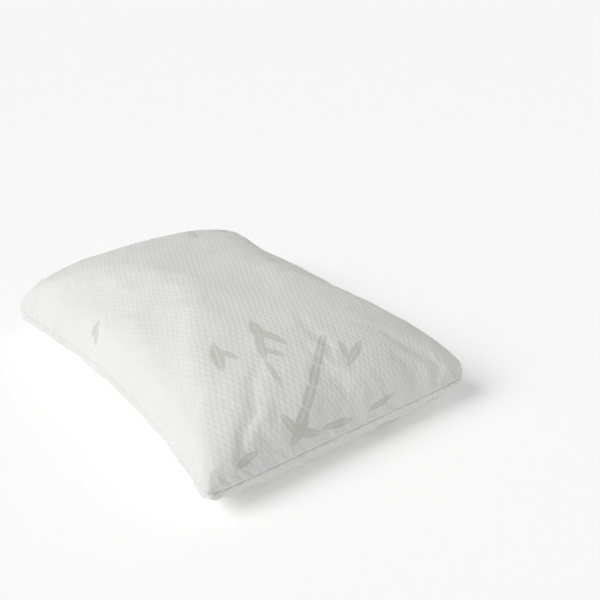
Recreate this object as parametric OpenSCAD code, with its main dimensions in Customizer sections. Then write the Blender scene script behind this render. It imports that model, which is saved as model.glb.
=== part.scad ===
// Bed pillow: a zipped knit cover over a sewn inner case full of shredded foam.
// The pillow lies on z = 0 with its length along X. Its zip runs along Y on the -X side.
// Soft layers share one set of surface functions, so each nests inside the next by its own clearance.

/* [Pillow] */
// Length of the filled pillow between its short sides, taken at the corners before they are blunted
pillow_length = 650; // [520:5:920]
// Width of the filled pillow between its long sides, taken at the corners before they are blunted
pillow_width = 468; // [390:2:620]
// Height of the crown above the surface below
crown_height = 168; // [120:2:210]
// Height of the edge seam above the surface below
seam_height = 43; // [34:1:60]
// How much higher the seam is at the four corners
corner_rise = 2; // [-6:0.5:12]
// How far each long side is drawn in at its middle
long_side_pull = 37; // [8:1:45]
// How far each short side is drawn in between its corners
short_side_pull = 5; // [3:0.5:16]
// Roundness of the crown: a low value is boxy and a high one is pointed
crown_power = 0.38; // [0.34:0.02:0.6]
// Roundness of the underside, in the same way
belly_power = 0.34; // [0.3:0.02:0.5]
// Depth that the underside would bulge to if nothing flattened it
belly_depth = 63; // [54:1:90]
// How far each corner is blunted
corner_blunting = 12; // [2:0.5:16]

/* [Fabric] */
// Thickness of the quilted knit cover
cover_wall = 2.4; // [1.6:0.1:4]
// Thickness of the woven inner case
case_wall = 0.8; // [0.5:0.1:1.6]
// Clearance between one layer and the next over the crown and the belly
layer_gap = 0.6; // [0.3:0.1:2]
// Empty strip inside the cover's edge, where its seam allowance turns in
cover_edge_void = 10; // [9:0.5:16]
// Empty strip inside the inner case's edge
case_edge_void = 6; // [5:0.5:12]
// Width of an overlocked seam allowance inside the cover
cover_seam_width = 6; // [4:0.5:8]
// Width of the overlocked seam allowance inside the inner case
case_seam_width = 4; // [3:0.5:5]
// Thickness of a seam allowance with its thread
seam_thickness = 1.4; // [1:0.1:2]

/* [Zip] */
// Distance from each end of the zip's chain to the corner of the pillow
zip_margin = 56; // [50:1:90]
// Height of the opening between the two panels where the zip shows
zip_opening = 14; // [13:0.5:18]
// Height of one coil half, measured across the zip
coil_height = 3; // [2:0.1:4]
// Depth of the coil, front to back
coil_depth = 2.2; // [1.6:0.1:3]
// Distance from one coil tooth to the next
coil_pitch = 1.5; // [1.2:0.1:3]
// Clear slot left between the two coil halves, which the slider's wedge runs in
coil_gap = 1.2; // [1:0.1:1.6]
// Thickness of the woven tape
tape_thickness = 0.6; // [0.4:0.1:0.9]
// Reach of each tape behind the panel that it is sewn to
tape_overlap = 4; // [3:0.5:6]
// Clearance between the tape and the panel in front of it
tape_clearance = 1.8; // [1.4:0.1:2.4]
// Length of the slider along the zip
slider_length = 12; // [9:0.5:16]
// Thickness of the slider's plates
slider_plate = 1.1; // [0.8:0.1:1.4]
// Running clearance between the slider and the chain
slider_clearance = 0.3; // [0.2:0.05:0.5]
// Length of the pull tab from its pivot to its tip
pull_length = 26; // [18:1:34]
// Width of the pull tab
pull_width = 7; // [6.4:0.2:9]
// Thickness of the pull tab
pull_thickness = 1.2; // [1:0.1:1.6]

/* [Stitching and label] */
// Length of one topstitch
stitch_length = 3; // [2:0.5:5]
// Bare stretch between two topstitches
stitch_space = 0.8; // [0.5:0.1:2]
// Thickness of sewing thread
thread_thickness = 0.4; // [0.3:0.1:0.8]
// Distance from a panel's folded edge to its row of topstitches
stitch_inset = 3; // [2:0.5:5]
// Width of the care label
label_width = 30; // [20:1:40]
// Length that the care label hangs down
label_drop = 32; // [20:1:33]
// Thickness of the folded care label
label_thickness = 0.5; // [0.3:0.1:0.8]
// Length of the inner case's hand-closed filling slit
filling_slit = 120; // [60:5:160]

/* [Hidden] */

// Steps of the soft surfaces' grid along X and along Y
steps_x = 28;
steps_y = 24;
// Half the slit between two panels at their seam, which the seam thread fills
seam_slit = 0.1;
// Half the thickness of the thread between two panels' edges, and how far back it starts
seam_thread = 0.07;
seam_setback = 0.6;
// Clearance between the thick part of a seam allowance and the panels around it
seam_clearance = 0.8;
// Curvature of the dome along the length and the width, of the sides' inward curve and of the corners
length_exponent = 2.9;
width_exponent = 2.5;
side_exponent = 2.2;
corner_exponent = 14;
// Share of the half length at which the seam starts to change height towards a corner
corner_start = 0.6;
// Share of the half length over which the zip's opening fades into the panel
opening_fade = 0.8;
// How far the tapes run on past the chain at each end
tape_tail = 8;
// Stretch over which the panels close up past the tapes
closing_stretch = 18;

half_length = pillow_length / 2;
half_width = pillow_width / 2;
zip_length = pillow_width - 2 * zip_margin;
zip_flat = (zip_length / 2 + tape_tail) / half_width;
zip_closed = zip_flat + closing_stretch / half_width;

// A layer is [inset from the edge, inset from the crown and the belly, share of the zip's opening].
cover_outside = [0, 0, 1];
cover_inside = [cover_wall, cover_wall, 1];
case_outside = [cover_wall + cover_edge_void, cover_wall + layer_gap, 0];
case_inside = case_outside + [case_wall, case_wall, 0];
fill_outside = case_inside + [case_edge_void, layer_gap, 0];

// The zip's planes, from the outside of the cover inwards. zip_face is the cover's outside there.
zip_face = -(half_length - short_side_pull);
tape_face = zip_face + cover_wall + tape_clearance;
coil_face = tape_face - coil_depth;
tape_edge = coil_gap / 2 + coil_height / 3;
tape_reach = zip_opening / 2 + tape_overlap;
chain_height = coil_gap / 2 + coil_height;

// The slider rests at the zip's closed end, clear of the end tack.
slider_rest = zip_length / 2 - slider_length / 2 - 1;
slider_front = coil_face - slider_clearance - slider_plate;
slider_inner_height = chain_height + slider_clearance;
slider_lip = 1;
bail_width = 2.2;
bail_rise = 4;
bail_wall = 1;
bail_span = 7;
pivot_radius = 0.65;
pivot_standoff = 1.8;
pivot_x = slider_front - pivot_standoff;

function ramp(a, from, to) = let (u = max(0, min(1, (a - from) / (to - from)))) u * u * (3 - 2 * u);
function flare(a, start) = pow(max(0, (abs(a) - start) / (1 - start)), 2);
function spaced(i, steps) = -cos(180 * i / steps);

// s runs from -1 to 1 along the length, and t from -1 to 1 along the width.
function half_x(t, layer) = half_length - layer[0] - short_side_pull * (1 - flare(t, zip_flat));
function half_y(s, layer) = half_width - layer[0] - long_side_pull * (1 - pow(abs(s), side_exponent));
function blunt(s, t) = corner_blunting * pow(abs(s * t), corner_exponent);
function swell(s, t) = max(0, (1 - pow(abs(s), length_exponent)) * (1 - pow(abs(t), width_exponent)));
function seam_z(s, t) = seam_height + corner_rise * flare(s, corner_start) * flare(t, zip_flat);
function opening(s, t) = zip_opening / 2 * ramp(-s, opening_fade, 1) * (1 - ramp(abs(t), zip_flat, zip_closed));
function slit(s, t, layer) = max(seam_slit, layer[2] * opening(s, t));

function place(s, t, layer, z) = [
    s * (half_x(t, layer) - blunt(s, t)),
    t * (half_y(s, layer) - blunt(s, t)),
    z
];
function top_point(s, t, layer) =
    let (rise = (crown_height - seam_height - layer[1]) * pow(swell(s, t), crown_power))
        place(s, t, layer, seam_z(s, t) + slit(s, t, layer) + rise);
function belly_point(s, t, layer) =
    let (drop = (belly_depth - layer[1]) * pow(swell(s, t), belly_power))
        place(s, t, layer, max(layer[1], seam_z(s, t) - slit(s, t, layer) - drop));

function top_points(layer) = [
    for (i = [0 : steps_x], j = [0 : steps_y]) top_point(spaced(i, steps_x), spaced(j, steps_y), layer)
];
function belly_points(layer) = [
    for (i = [0 : steps_x], j = [0 : steps_y]) belly_point(spaced(i, steps_x), spaced(j, steps_y), layer)
];

function at(i, j) = i * (steps_y + 1) + j;
grid_size = (steps_x + 1) * (steps_y + 1);
// Triangles of a whole grid, seen clockwise from above, or from below if flipped.
function grid_faces(first, flipped) = [
    for (i = [0 : steps_x - 1], j = [0 : steps_y - 1])
        let (a = first + at(i, j), b = first + at(i + 1, j), c = first + at(i + 1, j + 1), d = first + at(i, j + 1))
            each (flipped ? [[a, c, d], [a, b, c]] : [[a, d, c], [a, c, b]])
];
// The grid's outline, counterclockwise from above.
outline = concat(
    [for (i = [0 : steps_x - 1]) at(i, 0)],
    [for (j = [0 : steps_y - 1]) at(steps_x, j)],
    [for (i = [steps_x : -1 : 1]) at(i, steps_y)],
    [for (j = [steps_y : -1 : 1]) at(0, j)]
);
// Triangles that join the outlines of two grids, the first at index 0 and the second after it.
function rim_faces(flipped) = [
    for (k = [0 : len(outline) - 1])
        let (a = outline[k], b = outline[(k + 1) % len(outline)], c = grid_size + b, d = grid_size + a)
            each (flipped ? [[a, c, b], [a, d, c]] : [[a, b, c], [a, c, d]])
];

// A domed panel of cloth between two layers' top surfaces.
module top_panel(outside, inside) {
    polyhedron(
        concat(top_points(outside), top_points(inside)),
        concat(grid_faces(0, false), grid_faces(grid_size, true), rim_faces(false))
    );
}

// A flattened panel of cloth between two layers' bottom surfaces.
module bottom_panel(outside, inside) {
    polyhedron(
        concat(belly_points(outside), belly_points(inside)),
        concat(grid_faces(0, true), grid_faces(grid_size, false), rim_faces(true))
    );
}

// Outline of a seam at one station as [inset, height]: a thread that reaches out between the two
// panels' edges, and behind it the allowance, which is thinner at the corners where it is clipped.
function seam_outline(s, t, inset, wall, width) =
    let (
        rise = seam_thickness / 2 * (1 - 0.75 * pow(abs(s * t), corner_exponent)),
        out = inset + seam_setback,
        root = inset + wall + seam_clearance,
        back = root + width
    )
    [
        [out, -seam_thread], [root, -seam_thread], [root, -rise], [back, -rise],
        [back, rise], [root, rise], [root, seam_thread], [out, seam_thread]
    ];

// The overlocked seam of a layer of cloth, along a list of [s, t] stations.
module seam_strip(stations, inset, wall, width, closed) {
    last = len(stations) - 1;
    points = [
        for (q = stations)
            for (p = seam_outline(q[0], q[1], inset, wall, width))
                place(q[0], q[1], [p[0], 0, 0], seam_z(q[0], q[1]) + p[1])
    ];
    sides = [
        for (k = [0 : closed ? last : last - 1], m = [0 : 7])
            let (n = (k + 1) % (last + 1), o = (m + 1) % 8, a = 8 * k + m, b = 8 * k + o, c = 8 * n + o, d = 8 * n + m)
                each [[a, b, c], [a, c, d]]
    ];
    cap = [[0, 1, 6], [0, 6, 7], [1, 2, 3], [1, 3, 6], [3, 4, 6], [4, 5, 6]];
    ends = closed ? [] : concat([for (f = cap) [f[2], f[1], f[0]]], [for (f = cap) [for (v = f) 8 * last + v]]);
    polyhedron(points, concat(sides, ends));
}

// Stations on the zip's side past the zip's end, towards the corner at t = end or away from it.
function past_zip(end) = [
    for (j = [1 : steps_y - 1])
        let (t = spaced(j, steps_y))
            if (end * t > zip_closed) [-1, t]
];
// Stations along the edge, clockwise from above, with the zip left out unless whole is true.
function edge_stations(whole) = concat(
    whole ? [] : past_zip(1),
    [for (i = [0 : steps_x]) [spaced(i, steps_x), 1]],
    [for (j = [steps_y - 1 : -1 : 0]) [1, spaced(j, steps_y)]],
    [for (i = [steps_x - 1 : -1 : 0]) [spaced(i, steps_x), -1]],
    whole ? [for (j = [1 : steps_y - 1]) [-1, spaced(j, steps_y)]] : past_zip(-1)
);

module cover_top_panel() {
    color("whitesmoke") top_panel(cover_outside, cover_inside);
}

module cover_bottom_panel() {
    color("gainsboro") bottom_panel(cover_outside, cover_inside);
}

module cover_seam_overlock() {
    color("white") seam_strip(edge_stations(false), 0, cover_wall, cover_seam_width, false);
}

module inner_case_top() {
    color("ivory") top_panel(case_outside, case_inside);
}

module inner_case_bottom() {
    color("ivory") bottom_panel(case_outside, case_inside);
}

module inner_case_seam_overlock() {
    color("white") seam_strip(edge_stations(true), case_outside[0], case_wall, case_seam_width, true);
}

// Thread that closes the slit through which the inner case was filled, on its +X side.
module inner_case_closing_stitch() {
    color("white")
        for (y = stitch_places(filling_slit))
            translate([half_x(0, case_outside) + seam_slit, y, seam_height]) thread_bar();
}

// The shredded foam as one packed mass.
module foam_fill() {
    color("khaki")
        polyhedron(
            concat(belly_points(fill_outside), top_points(fill_outside)),
            concat(grid_faces(0, true), grid_faces(grid_size, false), rim_faces(true))
        );
}

// A short bar of thread that lies along Y, centred on Y, with its back at x = 0.
module thread_bar() {
    translate([0, -stitch_length / 2, -thread_thickness / 2])
        cube([thread_thickness, stitch_length, thread_thickness]);
}

// Where the stitches of a row along Y are centred.
function stitch_places(row_length) =
    let (pitch = stitch_length + stitch_space, count = floor(row_length / pitch))
    [for (k = [0 : count - 1]) (k - (count - 1) / 2) * pitch];

// side is 1 for the upper half of the zip, and -1 for the lower half.
module zip_tape(side) {
    color("snow")
        translate([tape_face, -zip_length / 2 - tape_tail, seam_height])
            mirror([0, 0, side > 0 ? 0 : 1])
                translate([0, 0, tape_edge])
                    cube([tape_thickness, zip_length + 2 * tape_tail, tape_reach - tape_edge]);
}

// A comb: the coil's spine with one tooth for each turn.
module zip_coil(side) {
    turns = floor(zip_length / coil_pitch);
    start = -turns * coil_pitch / 2;
    tooth = coil_pitch * 0.55;
    spine = coil_height * 0.45;
    tip = coil_gap / 2;
    root = tip + coil_height - spine;
    comb = concat(
        [[start, root + spine], [start, root]],
        [
            for (k = [0 : turns - 1])
                let (a = start + (k + (side > 0 ? 0.05 : 0.4)) * coil_pitch)
                    each [[a, root], [a, tip], [a + tooth, tip], [a + tooth, root]]
        ],
        [[-start, root], [-start, root + spine]]
    );
    color("white")
        translate([coil_face, 0, seam_height])
            mirror([0, 0, side > 0 ? 0 : 1])
                rotate([90, 0, 90]) linear_extrude(coil_depth) polygon(comb);
}

// The point on a panel's outside that is stitch_inset away from its folded edge at the zip.
function stitch_point(side, y) =
    let (
        t = y / half_width,
        next = spaced(1, steps_x),
        a = side > 0 ? top_point(-1, t, cover_outside) : belly_point(-1, t, cover_outside),
        b = side > 0 ? top_point(next, t, cover_outside) : belly_point(next, t, cover_outside)
    )
    [a[0] + (b[0] - a[0]) * stitch_inset / abs(b[2] - a[2]), y, a[2] + side * stitch_inset];

// Topstitches that hold a tape to its panel.
module zip_stitching(side) {
    color("white")
        for (y = stitch_places(zip_length))
            translate(stitch_point(side, y) - [thread_thickness + seam_slit, 0, 0]) thread_bar();
}

// A bar of thread across each end of the chain.
module zip_end_tacks() {
    tack_length = 1.6;
    color("white")
        for (end = [-1, 1])
            translate([coil_face, end * (zip_length / 2 + tack_length / 2 + seam_slit) - tack_length / 2, seam_height - chain_height])
                cube([coil_depth, tack_length, 2 * chain_height]);
}

// The slider's two plates, the wedge between them, the lips that guide the tapes, and the bail.
module zip_slider() {
    channel_depth = coil_depth + tape_thickness + 2 * slider_clearance;
    full_height = 2 * (slider_inner_height + slider_lip);
    slot_front = tape_face - slider_clearance;
    wedge_height = coil_gap - 2 * slider_clearance;
    color("silver")
        translate([0, slider_rest, seam_height])
            union() {
                // Front and back plates with rounded ends
                for (x = [slider_front, slider_front + slider_plate + channel_depth])
                    translate([x, 0, 0]) slider_plate_shape(full_height);
                // Wedge between the plates, in the clear slot between the coils
                translate([slider_front, slider_length / 2 - 5, -wedge_height / 2])
                    cube([channel_depth + 2 * slider_plate, 4, wedge_height]);
                // Lips that close the front plate down to the tapes
                for (side = [-1, 1])
                    translate([slider_front, -slider_length / 2 + 1, side > 0 ? slider_inner_height : -slider_inner_height - slider_lip])
                        cube([slot_front - slider_front, slider_length - 2, slider_lip]);
                bail();
            }
}

module slider_plate_shape(full_height) {
    rounding = 2;
    rotate([90, 0, 90])
        linear_extrude(slider_plate)
            polygon([
                [-slider_length / 2, -full_height / 2 + rounding],
                [-slider_length / 2 + rounding, -full_height / 2],
                [slider_length / 2 - rounding, -full_height / 2],
                [slider_length / 2, -full_height / 2 + rounding],
                [slider_length / 2, full_height / 2 - rounding],
                [slider_length / 2 - rounding, full_height / 2],
                [-slider_length / 2 + rounding, full_height / 2],
                [-slider_length / 2, full_height / 2 - rounding]
            ]);
}

// The arch on the front plate that holds the pull tab.
module bail() {
    translate([slider_front - bail_rise, -bail_span / 2, -bail_width / 2])
        difference() {
            cube([bail_rise + bail_wall / 2, bail_span, bail_width]);
            translate([bail_wall, bail_wall, -1]) cube([bail_rise - bail_wall, bail_span - 2 * bail_wall, bail_width + 2]);
        }
}

// The pull tab hangs on the bail by a round crossbar, and lies back along the chain.
module zip_pull_tab() {
    eye_length = 5;
    arm = 1.3;
    grip_hole = 1.6;
    color("silver")
        translate([pivot_x, slider_rest, seam_height]) {
            cylinder(r = pivot_radius, h = pull_width, center = true, $fn = 32);
            difference() {
                translate([-pull_thickness / 2, -pull_length, -pull_width / 2])
                    cube([pull_thickness, pull_length, pull_width]);
                translate([-pull_thickness, -eye_length, -pull_width / 2 + arm])
                    cube([2 * pull_thickness, 2 * eye_length, pull_width - 2 * arm]);
                translate([0, -pull_length + 2 * grip_hole, 0])
                    rotate([0, 90, 0]) cylinder(r = grip_hole, h = 2 * pull_thickness, center = true, $fn = 32);
            }
        }
}

// A folded label that hangs from the seam of the +Y side, near the zip.
module care_label() {
    s = -0.62;
    edge = place(s, 1, cover_outside, seam_height);
    ahead = place(s + 0.02, 1, cover_outside, seam_height);
    turn = atan2(ahead[1] - edge[1], ahead[0] - edge[0]);
    color("white")
        translate([edge[0], edge[1], seam_height])
            rotate([0, 0, turn])
                translate([-label_width / 2, 0.4, -label_drop])
                    cube([label_width, label_thickness, label_drop]);
}

cover_top_panel();
cover_bottom_panel();
cover_seam_overlock();
zip_tape(1);  // zip_tape_upper
zip_tape(-1);  // zip_tape_lower
zip_coil(1);  // zip_coil_upper
zip_coil(-1);  // zip_coil_lower
zip_stitching(1);  // zip_stitching_upper
zip_stitching(-1);  // zip_stitching_lower
zip_end_tacks();
zip_slider();
zip_pull_tab();
care_label();
inner_case_top();
inner_case_bottom();
inner_case_seam_overlock();
inner_case_closing_stitch();
foam_fill();
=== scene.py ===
"""Bed pillow: a zipped knit cover and a sewn inner case of foam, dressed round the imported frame."""
import logging
import math
from dataclasses import dataclass, field
from enum import Enum
from typing import Any, Iterable, Optional, Sequence

import bmesh
import bpy
import numpy as np
from mathutils import Matrix, Vector, noise


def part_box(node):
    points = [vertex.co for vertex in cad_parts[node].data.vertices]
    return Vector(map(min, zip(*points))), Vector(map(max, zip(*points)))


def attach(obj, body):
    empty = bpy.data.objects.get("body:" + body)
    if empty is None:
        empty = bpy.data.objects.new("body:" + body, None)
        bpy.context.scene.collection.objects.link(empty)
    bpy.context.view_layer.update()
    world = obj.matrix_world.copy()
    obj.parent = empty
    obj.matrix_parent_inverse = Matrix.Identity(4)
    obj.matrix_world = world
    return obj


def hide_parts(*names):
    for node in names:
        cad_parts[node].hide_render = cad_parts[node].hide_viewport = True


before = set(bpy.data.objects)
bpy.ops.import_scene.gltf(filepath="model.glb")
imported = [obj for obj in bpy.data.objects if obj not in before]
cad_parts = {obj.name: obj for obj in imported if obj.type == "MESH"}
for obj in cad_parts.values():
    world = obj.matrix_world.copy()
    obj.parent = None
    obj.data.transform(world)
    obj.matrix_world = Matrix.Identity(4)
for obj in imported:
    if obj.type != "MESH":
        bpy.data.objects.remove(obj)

logging.basicConfig(level=logging.INFO, format="%(name)s: %(message)s")
LOG = logging.getLogger("pillow")
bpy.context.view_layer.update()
MM_PER_M = 1000.0
SAME_SPOT = 1e-7  # metres within which two vertices are one
Array = np.ndarray
Colour = tuple[float, float, float]
Outline = Sequence[tuple[float, float]]


# ---------------------------------------------------------------------------
# Shader writing
# ---------------------------------------------------------------------------


class Wire:
    """A number in a shader: Python's operators on it add Math nodes."""

    def __init__(self, graph: "Graph", socket: bpy.types.NodeSocket) -> None:
        """Wrap an output socket of a graph."""
        self.graph = graph
        self.socket = socket

    def _math(self, operation: str, *values: Any) -> "Wire":
        """Add one Math node.

        Args:
            operation: The Math node's operation.
            values: Its inputs in order, as wires or numbers.

        Returns:
            The node's value.
        """
        node = self.graph.add("ShaderNodeMath", {"operation": operation}, dict(enumerate(values)))
        return Wire(self.graph, node.outputs[0])

    def __add__(self, other: Any) -> "Wire":
        """Sum."""
        return self._math("ADD", self, other)

    def __radd__(self, other: Any) -> "Wire":
        """Sum, reflected."""
        return self._math("ADD", other, self)

    def __sub__(self, other: Any) -> "Wire":
        """Difference."""
        return self._math("SUBTRACT", self, other)

    def __rsub__(self, other: Any) -> "Wire":
        """Difference, reflected."""
        return self._math("SUBTRACT", other, self)

    def __mul__(self, other: Any) -> "Wire":
        """Product."""
        return self._math("MULTIPLY", self, other)

    def __rmul__(self, other: Any) -> "Wire":
        """Product, reflected."""
        return self._math("MULTIPLY", other, self)

    def __truediv__(self, other: Any) -> "Wire":
        """Quotient."""
        return self._math("DIVIDE", self, other)

    def __pow__(self, other: Any) -> "Wire":
        """Power."""
        return self._math("POWER", self, other)

    def __abs__(self) -> "Wire":
        """Size without sign."""
        return self._math("ABSOLUTE", self)

    def sine(self) -> "Wire":
        """Sine of an angle in radians."""
        return self._math("SINE", self)

    def wave(self) -> "Wire":
        """Sine of an angle in radians, brought to 0 to 1."""
        return self.sine() * 0.5 + 0.5

    def fraction(self) -> "Wire":
        """What is left after the whole number."""
        return self._math("FRACT", self)

    def floor(self) -> "Wire":
        """The whole number below."""
        return self._math("FLOOR", self)

    def most(self, other: Any) -> "Wire":
        """The larger of two."""
        return self._math("MAXIMUM", self, other)

    def fade(self, start: float, end: float, low: float = 0.0, high: float = 1.0,
             smooth: bool = True) -> "Wire":
        """Go from low at start to high at end.

        Args:
            start: Value at which the result leaves low.
            end: Value at which the result reaches high.
            low: Result before start.
            high: Result after end.
            smooth: Whether both ends are eased.

        Returns:
            The faded value.
        """
        settings = {"interpolation_type": "SMOOTHSTEP" if smooth else "LINEAR"}
        links = {"Value": self, "From Min": start, "From Max": end, "To Min": low, "To Max": high}
        return Wire(self.graph, self.graph.add("ShaderNodeMapRange", settings, links).outputs[0])


class Graph:
    """The node tree of a material or of a world, written one node at a time."""

    def __init__(self, owner: bpy.types.ID, output: str = "ShaderNodeOutputMaterial") -> None:
        """Start an empty tree.

        Args:
            owner: The material or the world.
            output: The type of its output node.
        """
        owner.use_nodes = True
        self.owner = owner
        self.tree = owner.node_tree
        self.tree.nodes.clear()
        self.output = self.tree.nodes.new(output)

    def add(self, kind: str, settings: Optional[dict[str, Any]] = None,
            links: Optional[dict[Any, Any]] = None) -> bpy.types.Node:
        """Add a node: its settings first, and then the values or links of its sockets.

        Args:
            kind: The node's type.
            settings: The node's own properties. A "stops" entry sets a colour ramp's stops.
            links: Socket names or numbers, with wires, sockets, numbers or colours.

        Returns:
            The new node.
        """
        node = self.tree.nodes.new(kind)
        for key, value in (settings or {}).items():
            if key == "stops":
                elements = node.color_ramp.elements
                while len(elements) < len(value):
                    elements.new(0.5)
                for element, (place, colour) in zip(elements, value):
                    element.position = place
                    element.color = (*colour, 1.0)
            else:
                setattr(node, key, value)
        for key, value in (links or {}).items():
            socket = node.inputs[key]
            if isinstance(value, Wire):
                self.tree.links.new(value.socket, socket)
            elif isinstance(value, bpy.types.NodeSocket):
                self.tree.links.new(value, socket)
            elif isinstance(value, tuple) and socket.type == "RGBA":
                socket.default_value = (*value, 1.0)
            else:
                socket.default_value = value
        return node

    def parts(self, vector: bpy.types.NodeSocket) -> list[Wire]:
        """Split a vector into its three numbers."""
        node = self.add("ShaderNodeSeparateXYZ", None, {0: vector})
        return [Wire(self, output) for output in node.outputs]

    def cloth_place(self) -> list[Wire]:
        """Read where a spot lies on the flat cloth, in metres from the cloth's middle."""
        return self.parts(self.add("ShaderNodeUVMap", {"uv_map": "cloth"}).outputs[0])[:2]

    def place(self, space: str = "Object") -> bpy.types.NodeSocket:
        """Read a spot's own coordinates, in metres, or another of the coordinates' kinds."""
        return self.add("ShaderNodeTexCoord").outputs[space]

    def speckle(self, place: bpy.types.NodeSocket, scale: float, detail: float = 2.0,
                roughness: float = 0.5) -> Wire:
        """Smooth noise from 0 to 1.

        Args:
            place: Coordinates that the noise follows.
            scale: Number of features per metre.
            detail: Number of finer octaves.
            roughness: Strength of the finer octaves.

        Returns:
            The noise's value.
        """
        links = {"Vector": place, "Scale": scale, "Detail": detail, "Roughness": roughness}
        return Wire(self, self.add("ShaderNodeTexNoise", None, links).outputs[0])

    def blend(self, amount: Any, first: Any, second: Any) -> bpy.types.NodeSocket:
        """Mix two colours, given a share of the second one."""
        links = {0: amount, 6: first, 7: second}
        return self.add("ShaderNodeMix", {"data_type": "RGBA"}, links).outputs[2]

    def relief(self, height: Wire, depth: float, strength: float) -> bpy.types.NodeSocket:
        """Bump a normal by a height from 0 to 1, where 1 stands for a depth in metres."""
        links = {"Height": height, "Distance": depth, "Strength": strength}
        return self.add("ShaderNodeBump", None, links).outputs[0]

    def close(self, shader: bpy.types.Node) -> bpy.types.ID:
        """Link a shader to the output, and give back the material or the world."""
        self.tree.links.new(shader.outputs[0], self.output.inputs[0])
        return self.owner

    def finish(self, colour: Any, roughness: Any, normal: Optional[bpy.types.NodeSocket] = None,
               **fixed: Any) -> bpy.types.Material:
        """Close the material with a Principled shader.

        Args:
            colour: Base colour or its socket.
            roughness: Roughness or its wire.
            normal: Bumped normal, if any.
            fixed: Uniform values for other sockets, with underscores for spaces.

        Returns:
            The finished material.
        """
        links: dict[Any, Any] = {"Base Color": colour, "Roughness": roughness}
        links.update({key.replace("_", " "): value for key, value in fixed.items()})
        if normal is not None:
            links["Normal"] = normal
        return self.close(self.add("ShaderNodeBsdfPrincipled", None, links))


# ---------------------------------------------------------------------------
# Finishes. Lengths on cloth are in millimetres, noise scales in features per
# metre and relief depths in metres.
# ---------------------------------------------------------------------------


@dataclass(frozen=True)
class Leaf:
    """One woven leaf or stalk section, placed on the flat cloth in millimetres."""

    centre: tuple[float, float]
    length: float
    width: float
    turn: float
    blunt: float = 1.0

    def mask(self, across: Wire, along: Wire) -> Wire:
        """Share of a spot that this shape covers, with a paler rib along its middle.

        Args:
            across: The spot's first flat coordinate, in millimetres.
            along: The spot's second flat coordinate, in millimetres.

        Returns:
            0 outside the shape and 1 inside it.
        """
        c, s = math.cos(math.radians(self.turn)), math.sin(math.radians(self.turn))
        x, y = across - self.centre[0], along - self.centre[1]
        run = abs(x * c + y * s) * (2.0 / self.length)
        side = abs(y * c - x * s) * (2.0 / self.width)
        outside, inside = 1.15, 0.7
        body = (side + run ** (2.0 * self.blunt)).fade(outside, inside)
        rib, rib_end, rib_tone = (0.12, 0.4, 0.4) if self.blunt > 1.0 else (0.05, 0.2, 0.45)
        return body * side.fade(rib, rib_end, rib_tone, 1.0)


@dataclass(frozen=True)
class BambooMotif:
    """Bamboo stalks and leaves, woven once and again half a turn round the cloth's middle."""

    turned: tuple[Leaf, ...] = (
        Leaf((311.0, -76.0), 31.0, 16.0, 134.0, 7.0),
        Leaf((289.5, -53.5), 31.0, 15.0, 134.0, 7.0),
        Leaf((268.0, -31.0), 31.0, 14.0, 134.0, 7.0),
        Leaf((246.5, -8.5), 31.0, 12.5, 134.0, 7.0),
        Leaf((227.0, 11.5), 24.0, 10.5, 134.0, 7.0),
        Leaf((324.0, -84.0), 50.0, 18.0, 122.0),
        Leaf((331.0, -72.0), 46.0, 14.0, 72.0),
        Leaf((313.0, -93.0), 42.0, 14.0, 18.0),
        Leaf((260.0, 40.0), 56.0, 13.0, 122.0),
        Leaf((250.0, 29.0), 36.0, 9.0, 168.0),
        Leaf((170.0, -53.0), 56.0, 18.0, -16.0),
        Leaf((188.0, -45.0), 60.0, 13.0, 22.0),
        Leaf((199.0, -66.0), 54.0, 14.0, -20.0),
        Leaf((216.0, -58.0), 34.0, 9.0, 38.0),
        Leaf((243.0, -77.0), 50.0, 7.5, -3.0),
        Leaf((183.0, -119.0), 58.0, 18.0, -17.0),
        Leaf((188.0, -106.0), 36.0, 9.0, 20.0),
        Leaf((337.0, -22.0), 62.0, 12.0, 84.0),
        Leaf((334.0, 58.0), 54.0, 11.0, 101.0),
        Leaf((329.0, -168.0), 46.0, 12.0, 104.0),
    )
    single: tuple[Leaf, ...] = (
        Leaf((-66.0, -205.0), 46.0, 16.0, 92.0),
        Leaf((-77.0, -206.0), 32.0, 9.0, 62.0),
        Leaf((96.0, 168.0), 50.0, 15.0, 40.0),
        Leaf((112.0, 150.0), 44.0, 12.0, 84.0),
        Leaf((128.0, 172.0), 58.0, 14.0, 8.0),
    )

    def cover(self, across: Wire, along: Wire) -> Wire:
        """Share of a spot that the motif covers.

        Args:
            across: The spot's first flat coordinate, in millimetres.
            along: The spot's second flat coordinate, in millimetres.

        Returns:
            0 on the ground and 1 on the motif.
        """
        half = across.fade(-1.0, 1.0, -1.0, 1.0)
        shown = across.fade(-1.0, 1.0).most(along.fade(40.0, 60.0))
        masks = [leaf.mask(across * half, along * half) * shown for leaf in self.turned]
        masks += [leaf.mask(across, along) for leaf in self.single]
        total = masks[0]
        for mask in masks[1:]:
            total = total.most(mask)
        return total


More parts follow.
